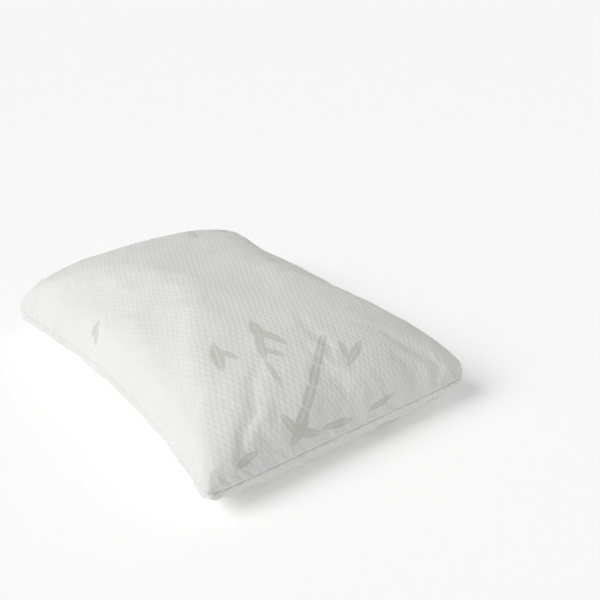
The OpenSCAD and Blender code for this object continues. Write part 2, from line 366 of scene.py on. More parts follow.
@dataclass(frozen=True)
class KnitCover:
    """White jacquard knit with faint woven bamboo stalks and leaves."""

    ground: Colour = (0.785, 0.782, 0.775)
    # Darker ground colour, used for random clouds and for painted shade in the knit's hollows
    shade: Colour = (0.74, 0.74, 0.728)
    motif: Colour = (0.52, 0.54, 0.45)
    motif_strength: float = 0.75
    wale: float = 1.9
    course: float = 1.5
    ripple_along: float = 8.0
    ripple_across: float = 18.0
    ripple_wander: float = 9.0
    wander_scale: float = 14.0
    cloud_scale: float = 9.0
    fuzz_scale: float = 900.0
    depth: float = 0.0009
    design: BambooMotif = BambooMotif()

    def build(self, name: str) -> bpy.types.Material:
        """Write the material.

        Args:
            name: The material's name.

        Returns:
            The material.
        """
        g = Graph(bpy.data.materials.new(name))
        u, v = g.cloth_place()
        across, along = u * MM_PER_M, v * MM_PER_M
        place = g.place()
        cover = self.design.cover(across, along)
        # Knit: columns of small V stitches
        column = abs((across / self.wale).fraction() - 0.5) * 2.0
        slant = (along / self.course + column * 0.5).fraction()
        stitch = (slant * math.pi).sine() * (1.0 - column ** 3.0)
        # Puffed ripples of the double cloth, broken up along each row
        wander = g.speckle(place, self.wander_scale) * self.ripple_wander
        row = (along * (2.0 * math.pi / self.ripple_along) + wander).sine()
        puff = (across * (2.0 * math.pi / self.ripple_across)).sine()
        ripple = (row * puff).fade(-0.9, 0.9)
        cloud = g.speckle(place, self.cloud_scale, 3.0).fade(0.3, 0.75)
        fuzz = g.speckle(place, self.fuzz_scale)
        # Besides random clouds, the ground is darkened with painted shade between the stitches and in
        # the ripples' troughs
        cloud_and_painted_shade = cloud * 0.6 + (1.0 - stitch) * 0.2 + (1.0 - ripple) * 0.2
        floats = (along * 2.1 + across * 1.1).wave() * 0.3 + 0.7
        colour = g.blend(cover * floats * self.motif_strength,
                         g.blend(cloud_and_painted_shade, self.ground, self.shade), self.motif)
        height = stitch * 0.25 + fuzz * 0.1 + ripple * (1.0 - cover) * 0.65
        return g.finish(colour, 0.92 - stitch * 0.08, g.relief(height, self.depth, 0.6),
                        Sheen_Weight=0.2, Sheen_Roughness=0.5, Specular_IOR_Level=0.25)


@dataclass(frozen=True)
class PlainWeave:
    """Over-and-under weave of fine yarn."""

    warp: Colour = (0.80, 0.79, 0.75)
    weft: Colour = (0.74, 0.73, 0.69)
    pitch: float = 0.9
    slub_scale: float = 160.0
    depth: float = 0.0003

    def build(self, name: str) -> bpy.types.Material:
        """Write the material.

        Args:
            name: The material's name.

        Returns:
            The material.
        """
        g = Graph(bpy.data.materials.new(name))
        u, v = g.cloth_place()
        across, along = u * (MM_PER_M / self.pitch), v * (MM_PER_M / self.pitch)
        over = (across * math.pi).sine() * (along * math.pi).sine()
        yarn = abs(over) ** 0.5
        slub = g.speckle(g.place(), self.slub_scale, 3.0)
        colour = g.blend(over.fade(-0.2, 0.2) * 0.7 + slub * 0.3, self.warp, self.weft)
        normal = g.relief(yarn * 0.7 + slub * 0.3, self.depth, 0.6)
        return g.finish(colour, 0.9, normal, Sheen_Weight=0.15, Specular_IOR_Level=0.2)


@dataclass(frozen=True)
class SpunThread:
    """Twisted sewing thread."""

    colour: Colour = (0.82, 0.82, 0.80)
    shade: Colour = (0.66, 0.66, 0.63)
    twists: float = 9000.0
    lint_scale: float = 2500.0
    depth: float = 0.0001

    def build(self, name: str) -> bpy.types.Material:
        """Write the material.

        Args:
            name: The material's name.

        Returns:
            The material.
        """
        g = Graph(bpy.data.materials.new(name))
        place = g.place()
        x, y, z = g.parts(place)
        twist = ((x + y + z * 0.6) * self.twists).wave()
        lint = g.speckle(place, self.lint_scale)
        colour = g.blend(twist * 0.45 + lint * 0.3, self.colour, self.shade)
        return g.finish(colour, 0.75, g.relief(twist, self.depth, 0.5), Sheen_Weight=0.2)


@dataclass(frozen=True)
class MouldedNylon:
    """Satin nylon with faint flow marks."""

    colour: Colour = (0.78, 0.78, 0.77)
    shade: Colour = (0.70, 0.70, 0.69)
    flow_scale: float = 500.0
    depth: float = 0.00005

    def build(self, name: str) -> bpy.types.Material:
        """Write the material.

        Args:
            name: The material's name.

        Returns:
            The material.
        """
        g = Graph(bpy.data.materials.new(name))
        flow = g.speckle(g.place(), self.flow_scale, 3.0)
        colour = g.blend(flow, self.colour, self.shade)
        normal = g.relief(flow, self.depth, 0.4)
        return g.finish(colour, 0.3 + flow * 0.2, normal, Specular_IOR_Level=0.5)


@dataclass(frozen=True)
class NickelPlate:
    """Die-cast zinc with a bright nickel plate, rubbed dull where fingers and fabric touch it."""

    bright: Colour = (0.56, 0.55, 0.53)
    dull: Colour = (0.43, 0.425, 0.41)
    rub_scale: float = 700.0
    pit_scale: float = 6000.0
    depth: float = 0.00002

    def build(self, name: str) -> bpy.types.Material:
        """Write the material.

        Args:
            name: The material's name.

        Returns:
            The material.
        """
        g = Graph(bpy.data.materials.new(name))
        place = g.place()
        rub = g.speckle(place, self.rub_scale, 4.0, 0.65)
        normal = g.relief(g.speckle(place, self.pit_scale), self.depth, 0.15)
        colour = g.blend(rub.fade(0.4, 0.75), self.bright, self.dull)
        return g.finish(colour, rub.fade(0.3, 0.8, 0.1, 0.28), normal, Metallic=1.0)


@dataclass(frozen=True)
class OpenCellFoam:
    """Shreds of open-cell foam in three pale tints."""

    tints: tuple[Colour, ...] = ((0.83, 0.80, 0.70), (0.80, 0.72, 0.52), (0.78, 0.80, 0.79))
    starts: tuple[float, ...] = (0.0, 0.45, 0.75)
    # Painted shade for the crevices between shreds and for the pores
    crevice: Colour = (0.42, 0.38, 0.28)
    shred_scale: float = 55.0
    cell_scale: float = 1500.0
    depth: float = 0.0008

    def build(self, name: str) -> bpy.types.Material:
        """Write the material.

        Args:
            name: The material's name.

        Returns:
            The material.
        """
        g = Graph(bpy.data.materials.new(name))
        place = g.place()
        links = {"Vector": place, "Scale": self.shred_scale, "Randomness": 1.0}
        shred = g.add("ShaderNodeTexVoronoi", {"feature": "F1"}, links)
        pick = g.add("ShaderNodeSeparateColor", None, {0: shred.outputs["Color"]})
        stops = {"stops": list(zip(self.starts, self.tints))}
        tint = g.add("ShaderNodeValToRGB", stops, {0: pick.outputs[0]})
        tint.color_ramp.interpolation = "CONSTANT"
        cell = g.speckle(place, self.cell_scale)
        deep = Wire(g, shred.outputs["Distance"]).fade(0.35, 0.75)
        # The crevices between shreds and the low pores, where the relief is deepest, are darkened
        # with painted shade
        colour = g.blend(deep * 0.5 + cell.fade(0.45, 0.3) * 0.35, tint.outputs[0], self.crevice)
        normal = g.relief(cell * 0.7 + (1.0 - deep) * 0.3, self.depth, 0.7)
        return g.finish(colour, 0.95, normal, Sheen_Weight=0.1)


@dataclass(frozen=True)
class SatinRibbon:
    """Woven satin ribbon with raised selvedges."""

    colour: Colour = (0.84, 0.84, 0.82)
    shade: Colour = (0.74, 0.74, 0.72)
    half_width: float = 15.0
    selvedge: tuple[float, float] = (1.6, 1.0)
    depth: float = 0.00012

    def build(self, name: str) -> bpy.types.Material:
        """Write the material.

        Args:
            name: The material's name.

        Returns:
            The material.
        """
        g = Graph(bpy.data.materials.new(name))
        u, v = g.cloth_place()
        along, across = u * MM_PER_M, v * MM_PER_M
        floats = (across * 28.0 + (along * 4.0).floor() * 2.1).wave()
        weft = (along * 16.0).wave()
        start, end = (self.half_width - inset for inset in self.selvedge)
        edge = abs(across).fade(start, end)
        colour = g.blend(floats * 0.35 + weft * 0.25 + edge * 0.3, self.colour, self.shade)
        normal = g.relief(floats * 0.4 + weft * 0.3 + edge * 0.6, self.depth, 0.5)
        return g.finish(colour, 0.36 + floats * 0.12, normal, Sheen_Weight=0.3, Anisotropic=0.4)


@dataclass(frozen=True)
class PaleFloor:
    """Matt white light table."""

    colour: Colour = (0.95, 0.95, 0.95)
    glow: float = 0.16

    def build(self, name: str) -> bpy.types.Material:
        """Write the material."""
        return Graph(bpy.data.materials.new(name)).finish(
            self.colour, 0.9, Specular_IOR_Level=0.1, Emission_Color=(1.0, 1.0, 1.0),
            Emission_Strength=self.glow)


# ---------------------------------------------------------------------------
# Soft surfaces. Lengths are in metres from here on.
# ---------------------------------------------------------------------------


class Side(Enum):
    """Upper or lower half of the pillow."""

    TOP = 1
    BOTTOM = -1

    @property
    def word(self) -> str:
        """The side's name in a piece's name."""
        return self.name.lower()

    @property
    def half(self) -> str:
        """The name of the half of the zip that is sewn to this side."""
        return "upper" if self is Side.TOP else "lower"


@dataclass(frozen=True)
class Layer:
    """Where a cloth lies: its insets at the edge and the crown, and its share of the zip's gap."""

    edge: float
    depth: float
    opening: float


@dataclass(frozen=True)
class PillowForm:
    """Sizes of the filled pillow, in metres, and the surfaces that follow from them."""

    length: float = 0.650
    width: float = 0.468
    crown: float = 0.168
    seam: float = 0.043
    corner_rise: float = 0.002
    long_pull: float = 0.037
    short_pull: float = 0.005
    crown_power: float = 0.38
    belly_power: float = 0.34
    belly: float = 0.063
    blunting: float = 0.012
    length_exponent: float = 2.9
    width_exponent: float = 2.5
    side_exponent: float = 2.2
    corner_exponent: float = 14.0
    corner_start: float = 0.6
    zip_margin: float = 0.056
    zip_opening: float = 0.014
    tape_tail: float = 0.008
    closing: float = 0.018
    opening_fade: float = 0.8
    wall: float = 0.0024
    case_wall: float = 0.0008
    gap: float = 0.0006
    edge_void: float = 0.010
    case_void: float = 0.006
    flat_length: float = 0.711
    flat_width: float = 0.508

    @property
    def zip_length(self) -> float:
        """Length of the zip's chain."""
        return self.width - 2 * self.zip_margin

    @property
    def zip_flat(self) -> float:
        """Share of the half width up to which the zip's side is straight."""
        return (self.zip_length / 2 + self.tape_tail) / (self.width / 2)

    @property
    def zip_shut(self) -> float:
        """Share of the half width from which the two panels meet again."""
        return self.zip_flat + self.closing / (self.width / 2)

    @property
    def cover(self) -> Layer:
        """Outside of the cover."""
        return Layer(0.0, 0.0, 1.0)

    @property
    def case(self) -> Layer:
        """Outside of the inner case."""
        return Layer(self.wall + self.edge_void, self.wall + self.gap, 0.0)

    @property
    def fill(self) -> Layer:
        """Outside of the foam."""
        return Layer(self.case.edge + self.case_wall + self.case_void,
                     self.case.depth + self.case_wall + self.gap, 0.0)

    @staticmethod
    def flare(a: Array, start: float) -> Array:
        """Go from 0 at start to 1 at the end, slowly at first."""
        return np.maximum(0.0, (np.abs(a) - start) / (1 - start)) ** 2

    @staticmethod
    def ramp(a: Array, start: float, end: float) -> Array:
        """Go smoothly from 0 at start to 1 at end."""
        u = np.clip((a - start) / (end - start), 0.0, 1.0)
        return u * u * (3 - 2 * u)

    def seam_z(self, s: Array, t: Array) -> Array:
        """Height of the edge seam."""
        rise = self.flare(s, self.corner_start) * self.flare(t, self.zip_flat)
        return self.seam + self.corner_rise * rise

    def plan(self, s: Array, t: Array, inset: float) -> tuple[Array, Array]:
        """Plan position of a surface.

        Args:
            s: Share of the half length.
            t: Share of the half width.
            inset: Distance in from the pillow's edge.

        Returns:
            X and Y.
        """
        blunt = self.blunting * np.abs(s * t) ** self.corner_exponent
        half_x = self.length / 2 - inset - self.short_pull * (1 - self.flare(t, self.zip_flat))
        half_y = self.width / 2 - inset - self.long_pull * (1 - np.abs(s) ** self.side_exponent)
        return s * (half_x - blunt), t * (half_y - blunt)

    def gape(self, s: Array, t: Array) -> Array:
        """Half the gap that the two panels leave at the zip."""
        open_share = 1 - self.ramp(np.abs(t), self.zip_flat, self.zip_shut)
        return self.zip_opening / 2 * self.ramp(-s, self.opening_fade, 1.0) * open_share

    def surface(self, s: Array, t: Array, side: Side, layer: Layer) -> Array:
        """Points of one soft surface.

        Args:
            s: Shares of the half length.
            t: Shares of the half width.
            side: Upper or lower half.
            layer: Which layer of the pillow.

        Returns:
            An array of points with a last axis of three.
        """
        s, t = np.broadcast_arrays(s, t)
        x, y = self.plan(s, t, layer.edge)
        swell = np.maximum(0.0, (1 - np.abs(s) ** self.length_exponent)
                           * (1 - np.abs(t) ** self.width_exponent))
        slit = layer.opening * self.gape(s, t)
        if side is Side.TOP:
            rise = self.crown - self.seam - layer.depth
            z = self.seam_z(s, t) + slit + rise * swell ** self.crown_power
        else:
            z = self.seam_z(s, t) - slit - (self.belly - layer.depth) * swell ** self.belly_power
            z = np.maximum(layer.depth, z)
        return np.stack([x, y, z], -1)


def spaced(count: int) -> Array:
    """Places from -1 to 1 that crowd towards both ends, as a dome's steep edges need."""
    return -np.cos(np.pi * np.arange(count + 1) / count)


def crowded(count: int) -> Array:
    """Places from -1 to 1 that lie three times as close at both ends as in the middle."""
    u = np.linspace(-1.0, 1.0, count + 1)
    return 0.35 * u + 0.65 * np.sin(np.pi * u / 2)


def grid_of(first: Array, second: Array) -> Array:
    """Pairs of coordinates on a grid, from its two axes."""
    return np.stack(np.meshgrid(first, second, indexing="ij"), -1)


def run_along(lines: Array) -> Array:
    """Distance from the start of each line of points, whose points follow on the first axis."""
    run = np.cumsum(np.linalg.norm(np.diff(lines, axis=0), axis=-1), 0)
    return np.concatenate([np.zeros_like(run[:1]), run], 0)


def read_off(places: Array, run: Array, line: Array) -> Array:
    """Points at set distances along one line of points."""
    return np.stack([np.interp(places, run, line[:, part]) for part in range(3)], -1)


def refined(points: Array, axis: int) -> Array:
    """Double the points along an axis on a smooth curve through them.

    Args:
        points: A grid of points.
        axis: The axis to refine.

    Returns:
        The finer grid.
    """
    p = np.moveaxis(points, axis, 0)
    before = np.concatenate([2 * p[:1] - p[1:2], p[:-2]], 0)
    after = np.concatenate([p[2:], 2 * p[-1:] - p[-2:-1]], 0)
    out = np.empty((2 * len(p) - 1, *p.shape[1:]))
    out[0::2], out[1::2] = p, (9 * (p[:-1] + p[1:]) - before - after) / 16
    return np.moveaxis(out, 0, axis)


def evened(points: Array, axis: int, shares: Array) -> Array:
    """Move a grid's rows to set shares of the length along its lines.

    Args:
        points: A grid of points.
        axis: The axis whose rows move.
        shares: Where the new rows lie on each line, from -1 to 1.

    Returns:
        The new grid.
    """
    p = np.moveaxis(refined(refined(points, axis), axis), axis, 0)
    run = run_along(p)
    run = run / run[-1:] * 2.0 - 1.0
    lines = [read_off(shares, run[:, line], p[:, line]) for line in range(p.shape[1])]
    return np.moveaxis(np.stack(lines, 1), 0, axis)


def normals(points: Array, side: Side) -> Array:
    """Unit normals of a grid of points that face out of the pillow."""
    n = np.cross(np.gradient(points, axis=0), np.gradient(points, axis=1)) * side.value
    return n / np.maximum(np.linalg.norm(n, axis=-1, keepdims=True), 1e-12)


def blurred(values: Array, passes: int) -> Array:
    """Blur a grid's values a little, again and again.

    Args:
        values: A grid of points or other rows of numbers.
        passes: Number of small blurs.

    Returns:
        The blurred grid.
    """
    for _ in range(passes):
        padded = np.pad(values, ((1, 1), (0, 0), (0, 0)), "edge")
        values = (padded[:-2] + 2 * values + padded[2:]) / 4
        padded = np.pad(values, ((0, 0), (1, 1), (0, 0)), "edge")
        values = (padded[:, :-2] + 2 * values + padded[:, 2:]) / 4
    return values


def rising_in(shape: tuple[int, ...], rows: float) -> Array:
    """Go from 0 at a grid's border to 1 that many rows in from it.

    Args:
        shape: The grid's shape.
        rows: Number of rows over which the value rises.

    Returns:
        One value for each of the grid's points.
    """
    both = [np.minimum(1.0, np.minimum(np.arange(n), np.arange(n)[::-1]) / rows) for n in shape[:2]]
    return both[0][:, None] * both[1][None, :]


def smooth_noise(points: Array, scale: float, seed: float, octaves: int) -> Array:
    """Seeded noise from about -1 to 1 at each point.

    Args:
        points: Points with a last axis of two or three.
        scale: Size of one feature, in metres.
        seed: Offset that picks the pattern.
        octaves: How many finer copies are added.

    Returns:
        One value per point.
    """
    flat = points.reshape(-1, points.shape[-1]) / scale
    if flat.shape[1] == 2:
        flat = np.concatenate([flat, np.zeros((len(flat), 1))], 1)
    offset = Vector((seed, seed * 0.7, -seed))
    values = [noise.fractal(Vector(p) + offset, 1.0, 2.0, octaves) for p in flat]
    return np.array(values).reshape(points.shape[:-1])


# ---------------------------------------------------------------------------
# Mesh making
# ---------------------------------------------------------------------------


def mesh_object(name: str, bm: bmesh.types.BMesh) -> bpy.types.Object:
    """Turn a bmesh into a smooth-shaded object at the origin.

    Args:
        name: The object's name.
        bm: The bmesh, which is freed.

    Returns:
        The object.
    """
    mesh = bpy.data.meshes.new(name)
    bm.to_mesh(mesh)
    bm.free()
    mesh.shade_smooth()
    obj = bpy.data.objects.new(name, mesh)
    bpy.context.scene.collection.objects.link(obj)
    return obj


def merged(name: str, *objects: bpy.types.Object) -> bpy.types.Object:
    """Join objects into one, and remove them.

    Args:
        name: The new object's name.
        objects: What it is made of.

    Returns:
        The new object.
    """
    bm = bmesh.new()
    for obj in objects:
        bm.from_mesh(obj.data)
    for obj in objects:
        bpy.data.objects.remove(obj)
    return mesh_object(name, bm)


def gather(bm: bmesh.types.BMesh, other: bmesh.types.BMesh) -> None:
    """Move a second bmesh into the first, and free it.

    Args:
        bm: The bmesh that grows.
        other: The bmesh that is freed.
    """
    mesh = bpy.data.meshes.new("part")
    other.to_mesh(mesh)
    other.free()
    bm.from_mesh(mesh)
    bpy.data.meshes.remove(mesh)


def grid_bmesh(points: Array, side: Side) -> bmesh.types.BMesh:
    """A grid of faces through an array of points.

    Args:
        points: A grid of points.
        side: Upper, with faces up, or lower, with faces down.

    Returns:
        The bmesh, with its vertices in the points' order.
    """
    nx, ny = points.shape[0] - 1, points.shape[1] - 1
    bm = bmesh.new()
    bmesh.ops.create_grid(bm, x_segments=nx, y_segments=ny, size=1.0)
    bm.verts.ensure_lookup_table()
    for vert in bm.verts:
        i, j = round((vert.co.x + 1) / 2 * nx), round((vert.co.y + 1) / 2 * ny)
        vert.index = i * (ny + 1) + j
    bm.verts.sort()
    flat = points.reshape(-1, 3)
    for vert in bm.verts:
        vert.co = flat[vert.index]
    if side is Side.BOTTOM:
        bmesh.ops.reverse_faces(bm, faces=bm.faces[:])
    return bm


def lay_flat(obj: bpy.types.Object, flat: Array) -> None:
    """Give an object a UV map named cloth with its flat places, in metres.

    Args:
        obj: An object whose vertices are in the flat array's order.
        flat: Flat coordinates with a last axis of two.
    """
    layer = obj.data.uv_layers.new(name="cloth")
    loops = np.empty(len(obj.data.loops), np.int32)
    obj.data.loops.foreach_get("vertex_index", loops)
    layer.uv.foreach_set("vector", flat.reshape(-1, 2)[loops].astype(np.float32).ravel())


def thicken(obj: bpy.types.Object, wall: float, offset: float = -1.0) -> None:
    """Give a cloth its thickness.

    Args:
        obj: The cloth.
        wall: Its thickness.
        offset: -1 to grow inwards, and 0 to both sides.
    """
    modifier = obj.modifiers.new("cloth_thickness", "SOLIDIFY")
    modifier.thickness = wall
    modifier.offset = offset


def loft(name: str, rings: Array, flat: Optional[Array] = None,
         closed: bool = False) -> bpy.types.Object:
    """A closed skin through rings of points.

    Args:
        name: The object's name.
        rings: Points by ring and by place on it, with each ring's first point again at its end.
        flat: Flat coordinates for the cloth UV map, if any.
        closed: Whether the last ring lies on the first.

    Returns:
        The object.
    """
    bm = grid_bmesh(rings, Side.TOP)
    if flat is not None:
        layer = bm.loops.layers.uv.new("cloth")
        places = flat.reshape(-1, 2)
        for face in bm.faces:
            for corner in face.loops:
                corner[layer].uv = places[corner.vert.index]
    bmesh.ops.remove_doubles(bm, verts=bm.verts[:], dist=SAME_SPOT)
    if not closed:
        bmesh.ops.holes_fill(bm, edges=[e for e in bm.edges if e.is_boundary], sides=0)
    bmesh.ops.recalc_face_normals(bm, faces=bm.faces[:])
    return mesh_object(name, bm)


def threads(name: str, paths: Iterable[Array], thickness: float, rings: int = 1,
            closed: bool = False) -> bpy.types.Object:
    """Round threads along lines of points.

    Args:
        name: The object's name.
        paths: One array of points for each thread.
        thickness: The threads' diameter.
        rings: How round they are.
        closed: Whether each thread's end meets its start.

    Returns:
        The object, as one mesh.
    """
    curve = bpy.data.curves.new(name + "_lines", "CURVE")
    curve.dimensions = "3D"
    curve.bevel_depth = thickness / 2
    curve.bevel_resolution = rings
    curve.use_fill_caps = not closed
    for path in paths:
        spline = curve.splines.new("POLY")
        spline.points.add(len(path) - 1)
        weights = np.ones((len(path), 1))
        spline.points.foreach_set("co", np.concatenate([path, weights], 1).ravel())
        spline.use_cyclic_u = closed
    holder = bpy.data.objects.new(name + "_lines", curve)
    bpy.context.scene.collection.objects.link(holder)
    bpy.context.view_layer.update()
    solid = holder.evaluated_get(bpy.context.evaluated_depsgraph_get())
    mesh = bpy.data.meshes.new_from_object(solid)
    bm = bmesh.new()
    bm.from_mesh(mesh)
    bpy.data.objects.remove(holder)
    bpy.data.curves.remove(curve)
    bpy.data.meshes.remove(mesh)
    bmesh.ops.remove_doubles(bm, verts=bm.verts[:], dist=SAME_SPOT)
    bmesh.ops.recalc_face_normals(bm, faces=bm.faces[:])
    return mesh_object(name, bm)


def soften(bm: bmesh.types.BMesh, edges: list[bmesh.types.BMEdge], width: float,
           segments: int = 2, clamp: bool = False) -> None:
    """Bevel edges round.

    Args:
        bm: The bmesh.
        edges: The edges.
        width: The bevel's width.
        segments: The bevel's number of steps.
        clamp: Whether narrow places get a narrower bevel.
    """
    bmesh.ops.bevel(bm, geom=edges, offset=width, offset_type="OFFSET", segments=segments,
                    profile=0.5, affect="EDGES", material=-1, clamp_overlap=clamp)


def sharp_edges(bm: bmesh.types.BMesh, least: float = 1.0) -> list[bmesh.types.BMEdge]:
    """Edges whose two faces turn by more than an angle, in radians."""
    return [e for e in bm.edges if len(e.link_faces) == 2 and e.calc_face_angle() > least]


def plate(outline: Outline, thickness: float, bevel: float, place: Matrix,
          holes: Sequence[Outline] = ()) -> bmesh.types.BMesh:
    """A flat plate with softened edges.

    Args:
        outline: Its outline.
        thickness: Its thickness, centred on the outline's plane.
        bevel: Width of the softened edge.
        place: Turns and moves it into place.
        holes: Outlines of its holes.

    Returns:
        The bmesh.
    """
    bm = bmesh.new()
    edges = []
    for ring in (outline, *holes):
        verts = [bm.verts.new((a, b, -thickness / 2)) for a, b in ring]
        edges += [bm.edges.new(pair) for pair in zip(verts, verts[1:] + verts[:1])]
    bmesh.ops.triangle_fill(bm, use_beauty=True, use_dissolve=False, edges=edges)
    bmesh.ops.solidify(bm, geom=bm.faces[:], thickness=thickness)
    bmesh.ops.recalc_face_normals(bm, faces=bm.faces[:])
    low = min(v.co.z for v in bm.verts)
    bmesh.ops.translate(bm, verts=bm.verts[:], vec=(0.0, 0.0, -thickness / 2 - low))
    soften(bm, sharp_edges(bm), bevel, clamp=True)
    bm.transform(place)
    return bm


def on_edge(x: float, y: float, z: float) -> Matrix:
    """Place a plate that is drawn on Y and Z, so that its thickness lies along X."""
    turn = Matrix(((0, 0, 1, 0), (1, 0, 0, 0), (0, 1, 0, 0), (0, 0, 0, 1)))
    return Matrix.Translation((x, y, z)) @ turn


def rounded(half_a: float, half_b: float, power: float, count: int,
            centre: tuple[float, float] = (0.0, 0.0)) -> list[tuple[float, float]]:
    """A rounded rectangle's outline.

    Args:
        half_a: Half its length.
        half_b: Half its width.
        power: 1 for an ellipse, and less for squarer corners.
        count: Number of points.
        centre: Its middle.

    Returns:
        The points.
    """
    ring = []
    for k in range(count):
        angle = 2 * math.pi * (k + 0.5) / count
        a, b = math.cos(angle), math.sin(angle)
        ring.append((centre[0] + half_a * math.copysign(abs(a) ** power, a),
                     centre[1] + half_b * math.copysign(abs(b) ** power, b)))
    return ring


def dress(obj: bpy.types.Object, material: bpy.types.Material, body: str,
          node: str) -> bpy.types.Object:
    """Give a piece its material, its body and the CAD node that it stands for.

    Args:
        obj: The piece.
        material: Its material.
        body: The CAD body that it rides on.
        node: The CAD node that it replaces.

    Returns:
        The piece.
    """
    obj.data.materials.clear()
    obj.data.materials.append(material)
    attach(obj, body)
    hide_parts(node)
    LOG.info("%s: %d faces, rides on %s", obj.name, len(obj.data.polygons), body)
    return obj


# ---------------------------------------------------------------------------
# Pieces
# ---------------------------------------------------------------------------


@dataclass
class PlumpedCover:
    """The cover's two panels, blown up by a cloth simulation and then given seams and lumps."""

    form: PillowForm
    steps_x: int = 120
    steps_y: int = 88
    rows_x: int = 236
    rows_y: int = 172
    frames: int = 20
    pressure: float = 3.0
    growth: float = 0.03
    stiffness: float = 40.0
    seam_reach: float = 0.00005
    held_rows: float = 5.0
    held_end: float = 0.95
    broad_passes: int = 70
    broad_margin: float = 10.0
    crease_kept: float = 0.55
    most_move: float = 0.006
    flank: float = 0.008
    lump: float = 0.0018
    small_lump: float = 0.0005
    lift: float = 0.0006
    pucker: float = 0.0019
    zip_pucker: float = 0.0002
    pucker_pitch: float = 0.019
    pucker_reach: float = 0.015
    groove: float = 0.0018
    groove_width: float = 0.0021
    fold: float = 0.0009
    fold_reach: float = 0.03
    grids: dict[Side, Array] = field(default_factory=dict)
    drift: dict[Side, Array] = field(default_factory=dict)

    @property
    def shares(self) -> tuple[Array, Array]:
        """Shares of the half length and of the half width at the first grids' points."""
        return spaced(self.steps_x)[:, None], spaced(self.steps_y)[None, :]

    @property
    def flat_half(self) -> tuple[float, float]:
        """Half the size of the flat cloth."""
        return self.form.flat_length / 2, self.form.flat_width / 2

    @property
    def flat(self) -> Array:
        """Where the panels' points lie on the flat cloth."""
        half_u, half_v = self.flat_half
        return grid_of(crowded(self.rows_x) * half_u, crowded(self.rows_y) * half_v)

    @property
    def margins(self) -> tuple[Array, Array]:
        """Distances on the flat cloth from the short sides and from the long sides."""
        away = np.array(self.flat_half) - np.abs(self.flat)
        return away[..., 0], away[..., 1]

    def build(self) -> None:
        """Make the outside of both panels as grids of points."""
        s, t = self.shares
        base = {side: self.form.surface(s, t, side, self.form.cover) for side in Side}
        moved = self._blow_up(base)
        for side in Side:
            self.drift[side] = self._creases(moved[side] - base[side])
            points = evened(base[side] + self.drift[side], 0, crowded(self.rows_x))
            points = evened(points, 1, crowded(self.rows_y))
            self.grids[side] = self._settle(points, side)

    def _creases(self, move: Array) -> Array:
        """Keep a movement's creases without its broad swelling, and cap it.

        Args:
            move: How far each point moved.

        Returns:
            The part of the movement that is kept.
        """
        broad = blurred(move, self.broad_passes)
        broad = broad * rising_in(move.shape, self.broad_margin)[..., None]
        kept = (move - broad) * self.crease_kept
        size = np.linalg.norm(kept, axis=-1, keepdims=True)
        capped = self.most_move * np.tanh(size / self.most_move)
        return kept * capped / np.maximum(size, 1e-9)

    def _blow_up(self, base: dict[Side, Array]) -> dict[Side, Array]:
        """Run the cloth simulation on both panels, joined at their seam.

        Args:
            base: The two panels before it.

        Returns:
            The two panels after it.
        """
        obj, keys = self._sewn(base)
        pinned = self._held(base).reshape(-1)[keys]
        group = obj.vertex_groups.new(name="held")
        for index in np.nonzero(pinned > 0)[0]:
            group.add([int(index)], float(pinned[index]), "REPLACE")
        cloth = obj.modifiers.new("cloth", "CLOTH")
        settings = {
            "quality": 6, "mass": 0.2, "tension_stiffness": self.stiffness,
            "compression_stiffness": self.stiffness, "shear_stiffness": self.stiffness / 2,
            "bending_stiffness": 0.8, "use_pressure": True,
            "uniform_pressure_force": self.pressure, "shrink_min": -self.growth,
            "shrink_max": -self.growth, "vertex_group_mass": "held"}
        for key, value in settings.items():
            setattr(cloth.settings, key, value)
        cloth.settings.effector_weights.gravity = 0.0
        cloth.collision_settings.use_collision = False
        cloth.point_cache.frame_start, cloth.point_cache.frame_end = 1, self.frames
        scene = bpy.context.scene
        for number in range(1, self.frames + 1):
            scene.frame_set(number)
        settled = obj.evaluated_get(bpy.context.evaluated_depsgraph_get())
        after = np.empty(len(settled.data.vertices) * 3, np.float32)
        settled.data.vertices.foreach_get("co", after)
        scene.frame_set(1)
        bpy.data.objects.remove(obj)
        both = np.stack([base[side] for side in Side])
        found = both.reshape(-1, 3).copy()
        found[keys] = after.reshape(-1, 3).astype(float)
        found = found.reshape(both.shape)
        most = float(np.linalg.norm(found - both, axis=-1).max())
        LOG.info("simulation moved points by up to %.1f mm", most * MM_PER_M)
        return dict(zip(Side, found))

    def _sewn(self, base: dict[Side, Array]) -> tuple[bpy.types.Object, Array]:
        """Join the two panels along their seam.

        Args:
            base: The two panels.

        Returns:
            The object, and each of its vertices' number in the two grids, one after the other.
        """
        bm = grid_bmesh(base[Side.TOP], Side.TOP)
        gather(bm, grid_bmesh(base[Side.BOTTOM], Side.BOTTOM))
        key = bm.verts.layers.int.new("key")
        for number, vert in enumerate(bm.verts):
            vert[key] = number
        rim = [v for v in bm.verts if v.is_boundary]
        bmesh.ops.remove_doubles(bm, verts=rim, dist=self.seam_reach)
        bmesh.ops.recalc_face_normals(bm, faces=bm.faces[:])
        obj = mesh_object("cover_simulation", bm)
        keys = np.empty(len(obj.data.vertices), np.int32)
        obj.data.attributes["key"].data.foreach_get("value", keys)
        return obj, keys

    def _held(self, base: dict[Side, Array]) -> Array:
        """How firmly each vertex of both panels is held: the seam and the zip are fixed.

        Args:
            base: The two panels.

        Returns:
            Weights from 0 to 1, by panel and by point.
        """
        held = np.zeros(base[Side.TOP].shape[:2])
        held[[0, -1], :] = 1.0
        held[:, [0, -1]] = 1.0
        rows = np.arange(held.shape[0])[:, None]
        near = self.form.ramp(-rows / self.held_rows, -1.0, 0.0)
        along = self.form.ramp(np.abs(self.shares[1]), self.form.zip_flat, self.held_end)
        held = np.maximum(held, near * (1 - along))
        return np.stack([held, held])

